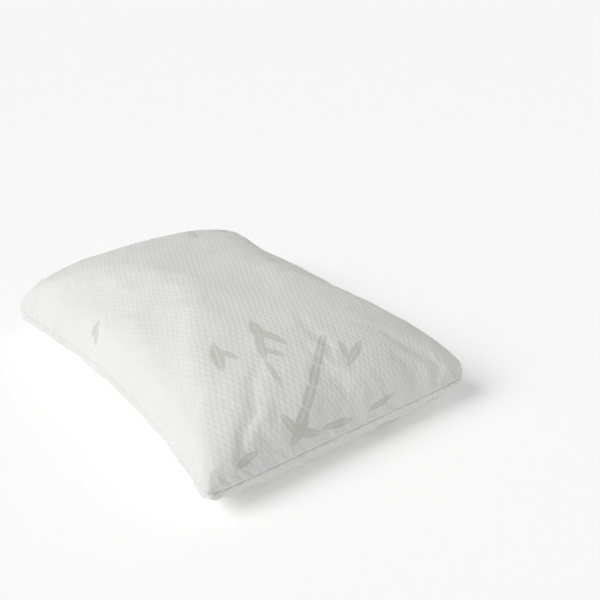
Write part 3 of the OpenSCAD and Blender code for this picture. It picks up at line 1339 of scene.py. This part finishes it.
    def _settle(self, points: Array, side: Side) -> Array:
        """Add the lumps of the fill, the seam's groove and puckers, and the corners' folds.

        Args:
            points: The panel's points.
            side: Upper or lower panel.

        Returns:
            The finished points.
        """
        out = normals(points, side)
        out[..., 2] *= self.form.ramp(np.minimum(*self.margins), 0.0, self.flank)
        out /= np.linalg.norm(out, axis=-1, keepdims=True)
        height = self._lumps(points, side) + self._seam_relief(points) + self._folds()
        points = points + out * height[..., None]
        points[..., 2] = np.maximum(points[..., 2], 0.0)
        return points

    def _lumps(self, points: Array, side: Side) -> Array:
        """Heights of the low lumps of fill.

        Args:
            points: The panel's points.
            side: Upper or lower panel.

        Returns:
            One height per point.
        """
        seed = 3.0 if side is Side.TOP else 11.0
        lumps = smooth_noise(points, 0.075, seed, 3) * self.lump
        lumps += smooth_noise(points, 0.028, seed + 5, 2) * self.small_lump
        return (lumps + self.lift) * self.form.ramp(np.minimum(*self.margins), 0.004, 0.06)

    def _seam_relief(self, points: Array) -> Array:
        """Heights of the seam's groove and of the puckers that run in from it.

        The puckers have one rhythm on both panels. Both all but stop at the zip.

        Args:
            points: The panel's points.

        Returns:
            One height per point.
        """
        u, v = self.flat[..., 0], self.flat[..., 1]
        to_end, to_side = self.margins
        past = np.abs(points[..., 1]) - self.form.zip_length / 2
        zipped = ((u < 0) & (to_end < to_side)) * (1.0 - self.form.ramp(past, 0.006, 0.018))
        pucker = np.zeros_like(u)
        for end in (-1.0, 1.0):
            on_end = self._puckers(v[0], 7.0 * end)[None, :] * self._close_by(to_end)
            on_side = self._puckers(u[:, 0], 40.0 + 7.0 * end)[:, None] * self._close_by(to_side)
            pucker += np.where(np.sign(u) == end, on_end, 0.0)
            pucker += np.where(np.sign(v) == end, on_side, 0.0)
        pucker *= self.pucker - (self.pucker - self.zip_pucker) * zipped
        groove = np.exp(-((np.minimum(to_end, to_side) / self.groove_width) ** 2))
        groove *= (zipped - 1.0) * self.groove
        return pucker + groove * self.form.ramp(np.hypot(to_end, to_side), 0.003, 0.016)

    def _close_by(self, away: Array) -> Array:
        """Strength of the puckers at a distance from the seam, where they start at nothing."""
        return np.exp(-away / self.pucker_reach) * (1 - np.exp(-((away / 0.003) ** 2)))

    def _puckers(self, run: Array, seed: float) -> Array:
        """Heights of the puckers along one stretch of seam.

        Args:
            run: Places along the seam.
            seed: Picks the pattern.

        Returns:
            Heights from about -1 to 1.
        """
        wander, loud = (smooth_noise(np.stack([run, np.full_like(run, row)], -1), scale, pick, 2)
                        for row, scale, pick in ((3.0, 0.05, seed), (7.0, 0.09, seed + 2.0)))
        wave = np.sin(run * 2 * np.pi / self.pucker_pitch + wander * 6.0)
        return wave * np.clip(0.5 + 0.5 * loud, 0.1, 1.0) - 0.15

    def _folds(self) -> Array:
        """Heights of the folds that fan out from the corners.

        Returns:
            One height per point.
        """
        folds = np.zeros(self.flat.shape[:2])
        for number, corner in enumerate(((1, 1), (1, -1), (-1, 1), (-1, -1))):
            off = np.array(self.flat_half) - self.flat * corner
            away, angle = np.hypot(off[..., 0], off[..., 1]), np.arctan2(off[..., 1], off[..., 0])
            wave = np.sin(angle * (9 + number) + 2.1 * number + 9.0 * away) + 1.0
            reach = away / self.fold_reach
            folds += wave * reach * np.exp(1 - reach) * np.sin(2 * angle) ** 2
        return folds * self.fold

    def spot(self, side: Side, y: float, distance: float) -> tuple[Vector, Vector]:
        """A point on a panel near the zip.

        Args:
            side: Upper or lower panel.
            y: Place along the zip.
            distance: How far it is from the panel's folded edge.

        Returns:
            The point and the outward normal there.
        """
        near = self.grids[side][:30]
        column = int(np.argmin(np.abs(near[0, :, 1] - y)))
        run = run_along(near[:, column])
        point = read_off(np.array([distance]), run, near[:, column])[0]
        point[1] = y
        row = int(np.searchsorted(run, distance))
        out = normals(near[:, column - 2:column + 3], side)[row, 2]
        return Vector(point), Vector(out)

    def seam_line(self) -> Array:
        """The seam's line between the panels, from one end of the zip the long way to the other.

        Returns:
            The points of the line.
        """
        both = (self.grids[Side.TOP] + self.grids[Side.BOTTOM]) / 2
        end = self.form.zip_length / 2 + self.form.tape_tail + self.form.closing
        first, last = (int(np.argmin(np.abs(both[0, :, 1] - y))) for y in (end, -end))
        parts = [both[0, first:], both[1:, -1], both[-1, -2::-1], both[-2::-1, 0],
                 both[0, 1:last + 1]]
        return np.concatenate(parts, 0)


@dataclass
class CoverPanels:
    """The two knit panels of the cover."""

    form: PillowForm
    plump: PlumpedCover
    knit: bpy.types.Material

    def build(self) -> dict[Side, bpy.types.Object]:
        """Make both panels.

        Returns:
            The pieces by side.
        """
        made = {}
        for side in Side:
            grid = grid_bmesh(self.plump.grids[side], side)
            obj = mesh_object(f"cover_{side.word}_panel_knit", grid)
            # The two panels are cut back to back, so that their motifs do not lie one on the other
            lay_flat(obj, self.plump.flat * (side.value, 1.0))
            thicken(obj, self.form.wall)
            node = f"cover_{side.word}_panel"
            made[side] = dress(obj, self.knit, "pillow", node)
        return made


@dataclass
class InnerCase:
    """The sewn inner case that holds the foam."""

    form: PillowForm
    plump: PlumpedCover
    weave: bpy.types.Material
    thread: bpy.types.Material
    smaller: float = 0.02
    flat_half: tuple[float, float] = (0.345, 0.244)
    crease_scale: float = 0.05
    crease_depth: float = 0.0016
    seam_band: float = 0.02
    slit: float = 0.120
    stitch: float = 0.003
    stitch_space: float = 0.0008
    thread_size: float = 0.0004
    stitch_slant: float = 0.0006

    def build(self) -> dict[Side, bpy.types.Object]:
        """Make both halves.

        Returns:
            The pieces by side.
        """
        form, (s, t) = self.form, self.plump.shares
        flat = grid_of(s[:, 0] * self.flat_half[0], t[0] * self.flat_half[1])
        free = (form.ramp(1 - np.abs(s), 0.0, self.seam_band)
                * form.ramp(1 - np.abs(t), 0.0, self.seam_band))
        made = {}
        for side in Side:
            points = form.surface(s, t, side, form.case) + self.plump.drift[side]
            crease = np.abs(smooth_noise(points, self.crease_scale, 20.0 + side.value, 3))
            crease = crease * self.crease_depth * free
            points = points - normals(points, side) * crease[..., None]
            points[..., 2] = np.maximum(points[..., 2], form.case.depth)
            obj = mesh_object(f"inner_case_{side.word}_cloth", grid_bmesh(points, side))
            lay_flat(obj, flat)
            thicken(obj, form.case_wall)
            node = f"inner_case_{side.word}"
            made[side] = dress(obj, self.weave, "pillow", node)
        return made

    def closing_stitch(self) -> bpy.types.Object:
        """Make the hand stitches that close the slit through which the case was filled.

        Returns:
            The piece.
        """
        pitch = self.stitch + self.stitch_space
        count = int(self.slit / pitch)
        x = float(self.form.plan(np.array(1.0), np.array(0.0), self.form.case.edge)[0])
        shares = np.array((-0.5, -0.42, 0.0, 0.42, 0.5))
        rise = np.array((-0.3, 0.3, 0.6, 0.3, -0.3)) * self.thread_size
        slant = np.array((-1.0, -0.9, 0.0, 0.9, 1.0)) * self.stitch_slant
        paths = []
        for number in range(count):
            y = (number - (count - 1) / 2) * pitch + shares * self.stitch
            paths.append(np.stack([x + self.thread_size / 2 + rise, y, self.form.seam + slant], -1))
        obj = threads("inner_case_closing_stitch_thread", paths, self.thread_size)
        return dress(obj, self.thread, "pillow", "inner_case_closing_stitch")


@dataclass
class FoamFill:
    """The shredded foam as one lumpy packed mass."""

    form: PillowForm
    plump: PlumpedCover
    foam: bpy.types.Material
    rows_x: int = 221
    rows_y: int = 161
    border_rows: float = 6.0
    shred: float = 0.018
    crease: float = 0.0045
    clearance: float = 0.0018
    crease_width: float = 0.22

    def build(self) -> bpy.types.Object:
        """Make the fill.

        Returns:
            The piece.
        """
        s, t = self.plump.shares
        bm = bmesh.new()
        for side in Side:
            points = self.form.surface(s, t, side, self.form.fill) + self.plump.drift[side]
            points = evened(points, 0, np.linspace(-1, 1, self.rows_x))
            points = evened(points, 1, np.linspace(-1, 1, self.rows_y))
            points[..., 2] = np.maximum(points[..., 2], self.form.fill.depth)
            inner = rising_in(points.shape, self.border_rows)
            depth = self._shreds(points) * inner * self.crease + self.clearance * inner
            points = points - normals(points, side) * depth[..., None]
            gather(bm, grid_bmesh(points, side))
        rim = [v for v in bm.verts if v.is_boundary]
        bmesh.ops.remove_doubles(bm, verts=rim, dist=0.0001)
        obj = mesh_object("foam_fill_shreds", bm)
        dress(obj, self.foam, "pillow", "foam_fill")
        return obj

    def _shreds(self, points: Array) -> Array:
        """Depth of the creases between shreds, from 0 on a shred's face to 1 in a crease.

        Args:
            points: The surface's points.

        Returns:
            One depth per point.
        """
        # Each cell of a lattice holds one shred, at a scattered place that its number gives
        scatter = np.array([[12.9898, 78.233, 37.719], [39.346, 11.135, 83.155],
                            [73.156, 52.235, 9.151]]).T
        p = points.reshape(-1, 3) / self.shred
        cell = np.floor(p)
        nearest, second = np.full(len(p), 9.0), np.full(len(p), 9.0)
        for step in np.ndindex(3, 3, 3):
            home = cell + np.array(step) - 1
            mix = np.sin(home @ scatter) * 43758.5453
            away = np.linalg.norm(p - home - (mix - np.floor(mix)), axis=1)
            second = np.where(away < nearest, nearest, np.minimum(second, away))
            nearest = np.minimum(nearest, away)
        return np.exp(-(second - nearest) / self.crease_width).reshape(points.shape[:-1])


@dataclass
class OverlockSeam:
    """A sewn edge: two cloths' allowance, the overlock thread round it, and the seam's stitches."""

    form: PillowForm
    thread: bpy.types.Material
    loop: float
    thickness: float = 0.0012
    thread_size: float = 0.0003
    edge_reach: float = 0.0001
    bow_reach: float = 0.00035
    station_step: float = 0.004
    stitch: float = 0.003
    stitch_dip: float = 0.0004

    def stations(self, whole: bool) -> tuple[Array, Array]:
        """Places along the edge, clockwise from above.

        Args:
            whole: Whether the seam crosses the zip's side too.

        Returns:
            The shares of the half length and of the half width at each place.
        """
        nx = int(self.form.length / self.station_step)
        ny = int(self.form.width / self.station_step)
        even, y = np.linspace(-1, 1, nx), np.linspace(-1, 1, ny)
        x = np.sin(even * np.pi / 2) * 0.5 + even * 0.5
        start = y if whole else y[y > self.form.zip_shut]
        s = [np.full(len(start), -1.0), x[1:], np.full(ny - 1, 1.0), x[::-1][1:]]
        t = [start, np.full(nx - 1, 1.0), y[::-1][1:], np.full(nx - 1, -1.0)]
        if not whole:
            end = y[y < -self.form.zip_shut][1:]
            s.append(np.full(len(end), -1.0))
            t.append(end)
        return np.concatenate(s), np.concatenate(t)

    def line(self, s: Array, t: Array, inset: Array, rise: Array) -> Array:
        """Points at an inset from the edge and a height over the seam."""
        x, y = self.form.plan(s, t, inset)
        return np.stack([x, y, self.form.seam_z(s, t) + rise], -1)

    def build(self, name: str, node: str, root: float, width: float, whole: bool,
              line: Array) -> bpy.types.Object:
        """Make the seam.

        Args:
            name: The piece's name.
            node: The CAD node that it replaces.
            root: Inset at which the allowance starts.
            width: The allowance's width.
            whole: Whether the seam crosses the zip's side too.
            line: The seam's line between the two cloths, for its own stitches.

        Returns:
            The piece.
        """
        s, t = self.stations(whole)
        ring = np.array(rounded(width / 2, self.thickness / 2, 0.5, 12))
        ring = np.concatenate([ring, ring[:1]], 0)
        rise = ring[None, :, 1] * self._thin(s, t, 0.6)[:, None]
        rings = self.line(s[:, None], t[:, None], root + width / 2 + ring[None, :, 0], rise)
        band = loft(name, rings, closed=whole)
        loops = self._loops(s, t, run_along(rings[:, 0]), root, width)
        pieces = (threads(name + "_loops", [loops], self.thread_size, 0),
                  threads(name + "_stitches", [self._stitched(line)], self.thread_size, 0, whole))
        obj = merged(name, band, *pieces)
        return dress(obj, self.thread, "pillow", node)

    def _thin(self, s: Array, t: Array, loss: float) -> Array:
        """Share of the seam's thickness, which falls by a loss at the corners."""
        return 1 - loss * np.abs(s * t) ** self.form.corner_exponent

    def _loops(self, s: Array, t: Array, run: Array, root: float, width: float) -> Array:
        """The overlock thread's line: over the top, round the edge and back below.

        Args:
            s: Shares of the half length along the edge.
            t: Shares of the half width along the edge.
            run: Distances along the edge.
            root: Inset at which the allowance starts.
            width: The allowance's width.

        Returns:
            The points of the line.
        """
        # Each loop's points: share of the loop, place across the allowance, and height
        foot, edge, bow = self.thread_size, width + self.edge_reach, width + self.bow_reach
        profile = np.array(((0.0, foot, 0.62), (0.22, edge, 0.6), (0.3, bow, 0.0),
                            (0.38, edge, -0.6), (0.6, foot, -0.62), (0.8, foot, 0.0)))
        count = int(run[-1] / self.loop)
        places = (np.arange(count)[:, None] + profile[None, :, 0]).ravel() * self.loop
        reach = np.tile(profile[:, 1], count)
        height = np.tile(profile[:, 2], count) * (self.thickness + self.thread_size)
        s, t = np.interp(places, run, s), np.interp(places, run, t)
        return self.line(s, t, root + reach, height * self._thin(s, t, 0.5))

    def _stitched(self, line: Array) -> Array:
        """A line that dips into the cloth between stitches.

        Args:
            line: The seam's line.

        Returns:
            The points of the thread.
        """
        run = run_along(line)
        places = np.arange(0.0, run[-1], self.stitch / 4)
        path = read_off(places, run, line)
        ahead = np.gradient(path, axis=0)
        out = np.stack([-ahead[:, 1], ahead[:, 0], np.zeros(len(path))], -1)
        out /= np.linalg.norm(out, axis=-1, keepdims=True)
        out *= np.sign((out[:, :2] * path[:, :2]).sum(-1, keepdims=True))
        dip = np.abs(np.sin(np.pi * places / self.stitch)) ** 0.5
        return path + out * ((dip - 0.6) * self.stitch_dip)[:, None]


@dataclass
class Zip:
    """The zip's tapes, coils, topstitching and end tacks."""

    form: PillowForm
    plump: PlumpedCover
    tape: bpy.types.Material
    nylon: bpy.types.Material
    thread: bpy.types.Material
    pitch: float = 0.0015
    slot: float = 0.00036
    turn_depth: float = 0.92
    turn_width: float = 0.62
    turn_bevel: float = 0.2
    sewing_size: float = 0.00026
    sewing_inset: float = 0.0008
    sewing_apart: float = 0.0006
    sewing_dip: float = 0.00005
    stitch: float = 0.003
    stitch_space: float = 0.0008
    stitch_inset: float = 0.003
    thread_size: float = 0.0004
    tape_rows: int = 150
    tape_steps: int = 15
    tape_wave: float = 0.00012
    tack_size: float = 0.0002
    tack_bulge: float = 0.0011

    def build(self) -> dict[Side, list[bpy.types.Object]]:
        """Make both halves and what is sewn on them.

        Returns:
            Each side's tape and topstitching.
        """
        made = {}
        for side in Side:
            tape = self._tape(side)
            self._coil(side)
            made[side] = [tape, self._topstitch(side)]
        self._tacks()
        return made

    def _tape(self, side: Side) -> bpy.types.Object:
        """Make one woven tape, which runs on behind the panels until these meet.

        Args:
            side: The panel that it is sewn to.

        Returns:
            The piece.
        """
        low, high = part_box(f"zip_tape_{side.half}")
        chain = self.form.zip_length / 2
        end = chain + self.form.tape_tail + self.form.closing - 0.0005
        y = np.linspace(-end, end, self.tape_rows)[:, None]
        near, far = (low[2], high[2]) if side is Side.TOP else (high[2], low[2])
        joined = self.form.ramp(np.abs(y), chain + 0.002, chain + 0.005)
        near = near + (self.form.seam + side.value * 0.0001 - near) * joined
        middle, half = (low[0] + high[0]) / 2, (high[0] - low[0]) / 2
        steps = np.linspace(0, 1, self.tape_steps)
        share = np.concatenate([steps, steps[::-1][1:], [0.0]])[None, :]
        front = np.repeat((-1.0, 1.0), self.tape_steps)[None, :]
        # The edges are thin, and a rolled bead runs beside the coil
        bead = 0.8 + 0.2 * np.exp(-((share - 0.12) / 0.08) ** 2)
        thin = np.where((share < 0.001) | (share > 0.999), 0.35, bead)
        x = middle + front * half * thin + self.tape_wave * np.sin(y * 90.0) * share
        z = near + (far - near) * share + 0.0 * y
        flat = np.stack(np.broadcast_arrays(y, share * np.abs(far - near)), -1)
        rings = np.stack(np.broadcast_arrays(x, y, z), -1)
        obj = loft(f"zip_tape_{side.half}_weave", rings, flat)
        return dress(obj, self.tape, "pillow", f"zip_tape_{side.half}")

    def _coil(self, side: Side) -> bpy.types.Object:
        """Make one coil: a rounded turn for each tooth, with two rows of sewing along them.

        Args:
            side: The panel on whose tape it lies.

        Returns:
            The piece.
        """
        low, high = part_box(f"zip_coil_{side.half}")
        middle = self.form.seam
        root = max(abs(low[2] - middle), abs(high[2] - middle))
        turns = int(self.form.zip_length / self.pitch)
        shift = 0.3 if side is Side.TOP else 0.8
        bm = bmesh.new()
        bmesh.ops.create_cube(bm, size=1.0)
        deep, wide = (high[0] - low[0]) * self.turn_depth, self.pitch * self.turn_width
        bmesh.ops.scale(bm, verts=bm.verts[:], vec=(deep, wide, root - self.slot))
        soften(bm, bm.edges[:], self.pitch * self.turn_bevel, 1)
        turn = bpy.data.meshes.new("turn")
        bm.to_mesh(turn)
        bm.clear()
        height = middle + side.value * (self.slot + root) / 2
        for number in range(turns):
            before = len(bm.verts)
            bm.from_mesh(turn)
            bm.verts.ensure_lookup_table()
            place = ((low[0] + high[0]) / 2, (number - turns / 2 + shift) * self.pitch, height)
            bmesh.ops.translate(bm, verts=bm.verts[before:], vec=place)
        bpy.data.meshes.remove(turn)
        y = np.linspace(-turns / 2, turns / 2, 2 * turns + 1) * self.pitch
        x = low[0] + 0.00004 + self.sewing_dip * np.cos(np.arange(len(y)) * np.pi)
        rise = middle + side.value * (root - self.sewing_inset)
        rows = [np.stack([x, y, np.full_like(y, rise + away)], -1)
                for away in (-self.sewing_apart, self.sewing_apart)]
        sewing = threads("coil_sewing", rows, self.sewing_size, 0)
        obj = merged(f"zip_coil_{side.half}_turns", mesh_object("coil_turns", bm), sewing)
        return dress(obj, self.nylon, "pillow", f"zip_coil_{side.half}")

    def _topstitch(self, side: Side) -> bpy.types.Object:
        """Make the row of stitches that holds a tape to its panel.

        Args:
            side: The panel.

        Returns:
            The piece.
        """
        pitch = self.stitch + self.stitch_space
        count = int(self.form.zip_length / pitch)
        arch = ((-0.5, -0.9), (-0.44, 0.1), (-0.2, 0.42), (0.2, 0.42), (0.44, 0.1), (0.5, -0.9))
        paths = []
        for number in range(count):
            y = (number - (count - 1) / 2) * pitch
            path = []
            for share, rise in arch:
                point, out = self.plump.spot(side, y + share * self.stitch, self.stitch_inset)
                path.append(point + out * rise * self.thread_size)
            paths.append(np.array(path))
        obj = threads(f"zip_stitching_{side.half}_thread", paths, self.thread_size)
        node = f"zip_stitching_{side.half}"
        return dress(obj, self.thread, "pillow", node)

    def _tacks(self) -> bpy.types.Object:
        """Make the bar tacks: thread wound back and forth across each end of the chain.

        Returns:
            The piece.
        """
        low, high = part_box("zip_end_tacks")
        outer, reach = max(abs(low[1]), abs(high[1])), (high[2] - low[2]) * 0.49
        paths = []
        for end in (-1.0, 1.0):
            path = []
            for number, y in enumerate(end * np.linspace(outer - 0.0015, outer - 0.0001, 9)):
                for share in np.linspace(-1, 1, 7) * (1 if number % 2 else -1):
                    x = low[0] + 0.0013 - self.tack_bulge * (1 - share ** 4)
                    path.append((x, y, self.form.seam + share * reach))
            paths.append(np.array(path))
        obj = threads("zip_end_tacks_thread", paths, self.tack_size, 0)
        return dress(obj, self.thread, "pillow", "zip_end_tacks")


@dataclass
class ZipSlider:
    """The cast slider with its bail, and the pull tab that hangs on it."""

    metal: bpy.types.Material
    wall: float = 0.0011
    bevel: float = 0.00028
    tail_share: float = 0.86
    lip: float = 0.001
    lip_depth: float = 0.0026
    lip_inset: float = 0.0014
    wedge_half: tuple[float, float] = (0.002, 0.0003)
    wedge_place: float = 0.003
    bail_rise: float = 0.0045
    bail_sunk: float = 0.0005
    bail_span: float = 0.0035
    bail_wall: float = 0.001
    bail_width: float = 0.0022
    bail_steps: int = 16
    bail_square: float = 0.55
    pivot_standoff: float = 0.0018
    tab_length: float = 0.026
    tab_half: float = 0.0035
    tab_thickness: float = 0.0012
    bar_radius: float = 0.00065

    def build(self) -> None:
        """Make the slider and its pull tab."""
        low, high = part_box("zip_slider")
        y, z = (low[1] + high[1]) / 2, (low[2] + high[2]) / 2
        half_y, half_z = (high[1] - low[1]) / 2, (high[2] - low[2]) / 2
        front, back = low[0] + self.bail_rise - self.bail_sunk, high[0]
        bm = bmesh.new()
        # A plate on each side of the coil, lips that hold the tapes, and the wedge between
        for x in (front + self.wall / 2, back - self.wall / 2):
            outline = self._outline(half_y, half_z)
            gather(bm, plate(outline, self.wall, self.bevel, on_edge(x, y, z)))
        for side in (-1, 1):
            middle = (0.0, side * (half_z - self.lip / 2))
            outline = rounded(half_y - self.lip_inset, self.lip / 2, 0.3, 16, middle)
            x = front + (self.wall + self.lip_depth) / 2
            gather(bm, plate(outline, self.lip_depth, self.bevel / 2, on_edge(x, y, z)))
        outline = rounded(*self.wedge_half, 0.6, 12, (self.wedge_place, 0.0))
        deep = back - front - self.wall
        gather(bm, plate(outline, deep, 0.00005, on_edge((front + back) / 2, y, z)))
        gather(bm, self._bail(front, y, z))
        obj = mesh_object("zip_slider_cast", bm)
        dress(obj, self.metal, "slider", "zip_slider")
        self._tab(front - self.pivot_standoff, y, z)

    def _outline(self, half_y: float, half_z: float) -> list[tuple[float, float]]:
        """Outline of a slider plate, with wide shoulders at its nose and a narrower tail.

        Args:
            half_y: Half its length.
            half_z: Half its width at the nose.

        Returns:
            The points.
        """
        ring = []
        for a, b in rounded(half_y, half_z, 0.42, 36):
            share = (a / half_y + 1) / 2
            eased = share * share * (3 - 2 * share)
            ring.append((a, b * (self.tail_share + (1 - self.tail_share) * eased)))
        return ring

    def _bail(self, front: float, y: float, z: float) -> bmesh.types.BMesh:
        """Make the arch that holds the pull tab.

        Args:
            front: X of the slider's front face.
            y: Y of the slider's middle.
            z: Z of the slider's middle.

        Returns:
            The arch.
        """
        outer, inner = [], []
        reach = self.bail_rise - self.bail_sunk
        for k in range(self.bail_steps + 1):
            angle = math.pi * (k / self.bail_steps - 0.5)
            a = math.cos(angle) ** self.bail_square
            b = math.copysign(abs(math.sin(angle)) ** self.bail_square, math.sin(angle))
            sunk = 0.0004 * (1 - a)
            outer.append((-a * reach + sunk, b * self.bail_span))
            inner.append((-a * (reach - self.bail_wall) + sunk,
                          b * (self.bail_span - self.bail_wall)))
        return plate(outer + inner[::-1], self.bail_width, self.bevel,
                     Matrix.Translation((front, y, z)))

    def _tab(self, x: float, y: float, z: float) -> bpy.types.Object:
        """Make the pull tab: its crossbar, two arms and a waisted grip with a hole.

        Args:
            x: X of its pivot.
            y: Y of its pivot.
            z: Z of its pivot.

        Returns:
            The piece.
        """
        places = np.linspace(0.0006, -self.tab_length, 40)
        widths = np.interp(-places, [0.0, 0.006, 0.0115, 0.020, 0.0235, self.tab_length],
                           np.array([1.0, 1.0, 0.74, 0.94, 0.9, 0.35]) * self.tab_half)
        widths = np.convolve(np.pad(widths, 2, "edge"), np.ones(5) / 5, "valid")
        outline = list(zip(places, widths)) + list(zip(places[::-1], -widths[::-1]))
        eye = rounded(0.00215, 0.0022, 0.35, 20, (-0.00285, 0.0))
        grip = rounded(0.0016, 0.0016, 1.0, 24, (-self.tab_length + 0.0032, 0.0))
        bm = plate(outline, self.tab_thickness, self.bevel, on_edge(x, y, z), (eye, grip))
        bar = bmesh.new()
        bmesh.ops.create_cone(bar, cap_ends=True, segments=20, radius1=self.bar_radius,
                              radius2=self.bar_radius, depth=2 * self.tab_half)
        soften(bar, sharp_edges(bar), 0.0002)
        bmesh.ops.translate(bar, verts=bar.verts[:], vec=(x, y, z))
        gather(bm, bar)
        obj = mesh_object("zip_pull_tab_cast", bm)
        return dress(obj, self.metal, "pull_tab", "zip_pull_tab")


@dataclass
class CareLabel:
    """A blank satin label, folded double and caught in the seam."""

    plump: PlumpedCover
    satin: bpy.types.Material
    width: float = 0.030
    drop: float = 0.0315
    tail: float = 0.003
    gap: float = 0.0009
    thickness: float = 0.00022
    clearance: float = 0.0006
    bend: float = 0.0016
    curl: float = 0.0012
    rows: int = 30
    columns: int = 17

    def build(self) -> bpy.types.Object:
        """Make the label.

        Returns:
            The piece.
        """
        grid = self.plump.grids[Side.BOTTOM]
        low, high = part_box("care_label")
        row = int(np.argmin(np.abs(grid[:, -1, 0] - (low[0] + high[0]) / 2)))
        rim = grid[row, -1]
        ahead = Vector(grid[row + 2, -1] - grid[row - 2, -1]).normalized()
        out = Vector((-ahead.y, ahead.x, 0.0))
        # It hangs clear of the panel beside it, down the front and up the back
        beside = grid[row - 3:row + 4, -self.rows:] - rim
        proud = np.maximum.accumulate((beside @ np.array(out)).max(0)[::-1])
        share = np.linspace(-0.1, 1, self.rows)
        share = np.concatenate([share, share[::-1]])
        front = np.repeat((1.0, 0.0), self.rows)
        down = np.clip(share, 0, 1) * self.drop
        clear = np.interp(down, -beside[3, :, 2][::-1], proud) + self.clearance
        apart = np.minimum(1, np.sin(np.pi * np.clip(share, 0, 1) * 0.5 + 0.001) * 1.2)
        apart *= self.gap * np.where(share > 0.97, 0.5, 1.0)
        away = clear + self.bend * (down / self.drop) ** 2 + apart * front
        away = np.where(share < 0, share / 0.1 * self.tail, away)
        across = np.linspace(-0.5, 0.5, self.columns) * self.width
        curl = np.cos(across / self.width * 5.0)[None, :] * (down / self.drop)[:, None] * self.curl
        spread = (away[:, None] + curl, across[None, :], -down[:, None])
        axes = np.array((tuple(out), tuple(ahead), (0.0, 0.0, 1.0)))
        points = np.stack(np.broadcast_arrays(*spread), -1) @ axes + rim
        obj = mesh_object("care_label_satin", grid_bmesh(points, Side.TOP))
        whole = 2 * (self.drop + self.tail)
        lay_flat(obj, grid_of(np.linspace(0, whole, 2 * self.rows), across))
        thicken(obj, self.thickness, 0.0)
        dress(obj, self.satin, "pillow", "care_label")
        return obj


@dataclass
class Studio:
    """Floor, soft lights and the camera."""

    floor_half: float = 15.0
    frame_size: float = 600.0
    sensor: float = 36.0
    focal: float = 800.34
    azimuth: float = 52.83
    elevation: float = 25.86
    distance: float = 1.2933
    aim_height: float = 0.0692
    aim_x: float = 222.64
    aim_y: float = 326.13
    roll: float = -0.41
    sun: float = 1.88
    sun_softness: float = 0.6
    sun_from: tuple[float, float, float] = (-0.13, -0.74, 0.66)
    tent_rim: float = 0.92
    tent_rim_height: float = 0.2
    tent_foot: float = 0.56
    tent_top: float = 0.36

    def build(self) -> None:
        """Set up the floor, the camera and the lights."""
        self._floor()
        self._camera()
        self._lights()
        bpy.context.scene.view_settings.view_transform = "Standard"

    def _floor(self) -> None:
        """Lay a wide pale floor."""
        bm = bmesh.new()
        bmesh.ops.create_grid(bm, x_segments=1, y_segments=1, size=self.floor_half)
        floor = mesh_object("floor", bm)
        floor.data.materials.append(PaleFloor().build("floor_white"))

    def _camera(self) -> None:
        """Aim the camera so that the pillow's middle falls on its place in the frame."""
        a, e = math.radians(self.azimuth), math.radians(self.elevation)
        back = Vector((math.sin(a) * math.cos(e), -math.cos(a) * math.cos(e), math.sin(e)))
        right = Vector((math.cos(a), math.sin(a), 0.0))
        up = back.cross(right)
        share = self.distance / self.focal
        place = Vector((0, 0, self.aim_height)) + back * self.distance
        place += -right * (self.aim_x - self.frame_size / 2) * share
        place += up * (self.aim_y - self.frame_size / 2) * share
        data = bpy.data.cameras.new("camera")
        data.sensor_width = self.sensor
        data.lens = self.focal * self.sensor / self.frame_size
        data.clip_start, data.clip_end = 0.01, 100.0
        camera = bpy.data.objects.new("camera", data)
        turn = Matrix((right, up, back)).transposed().to_4x4()
        roll = Matrix.Rotation(math.radians(self.roll), 4, "Z")
        camera.matrix_world = Matrix.Translation(place) @ turn @ roll
        bpy.context.scene.collection.objects.link(camera)
        bpy.context.scene.camera = camera

    def _lights(self) -> None:
        """Light from a broad soft sun on the left, in a tent that is brighter at its foot."""
        world = bpy.data.worlds.new("studio")
        g = Graph(world, "ShaderNodeOutputWorld")
        height = g.parts(g.place("Generated"))[2]
        tent = height.fade(0.0, 1.0, self.tent_foot, self.tent_top, smooth=False)
        rim = height.fade(0.0, self.tent_rim_height, self.tent_rim, 0.0, smooth=False)
        links = {"Color": (1.0, 1.0, 1.0), "Strength": tent.most(rim)}
        g.close(g.add("ShaderNodeBackground", None, links))
        bpy.context.scene.world = world
        data = bpy.data.lights.new("key", "SUN")
        data.energy = self.sun
        data.angle = self.sun_softness
        light = bpy.data.objects.new("key", data)
        light.matrix_world = Vector(self.sun_from).to_track_quat("Z", "Y").to_matrix().to_4x4()
        bpy.context.scene.collection.objects.link(light)


def main() -> None:
    """Build the pillow and its studio."""
    form = PillowForm()
    Studio().build()
    thread = SpunThread().build("sewing_thread")
    plump = PlumpedCover(form)
    plump.build()
    panels = CoverPanels(form, plump, KnitCover().build("bamboo_knit")).build()
    tape = PlainWeave((0.80, 0.80, 0.79), (0.73, 0.73, 0.72), 0.5).build("zip_tape_weave")
    nylon = MouldedNylon().build("zip_coil_nylon")
    closure = Zip(form, plump, tape, nylon, thread).build()
    ZipSlider(NickelPlate().build("nickel_plate")).build()
    seam = OverlockSeam(form, thread, loop=0.0034)
    seam.build("cover_seam_overlock_thread", "cover_seam_overlock", 0.0046, 0.0044, False,
               plump.seam_line())
    CareLabel(plump, SatinRibbon().build("label_satin")).build()
    case = InnerCase(form, plump, PlainWeave().build("case_weave"), thread)
    cloths = case.build()
    for side in Side:
        form.flat_width - case.smaller
        form.flat_length - case.smaller
    seam = OverlockSeam(form, thread, loop=0.0042)
    edge = seam.line(*seam.stations(True), form.case.edge, 0.0)[:-1]
    seam.build("inner_case_seam_overlock_thread", "inner_case_seam_overlock",
               form.case.edge + 0.0016, 0.0040, True, edge)
    case.closing_stitch()
    FoamFill(form, plump, OpenCellFoam().build("shredded_foam")).build()


if __name__ == "__main__":
    main()
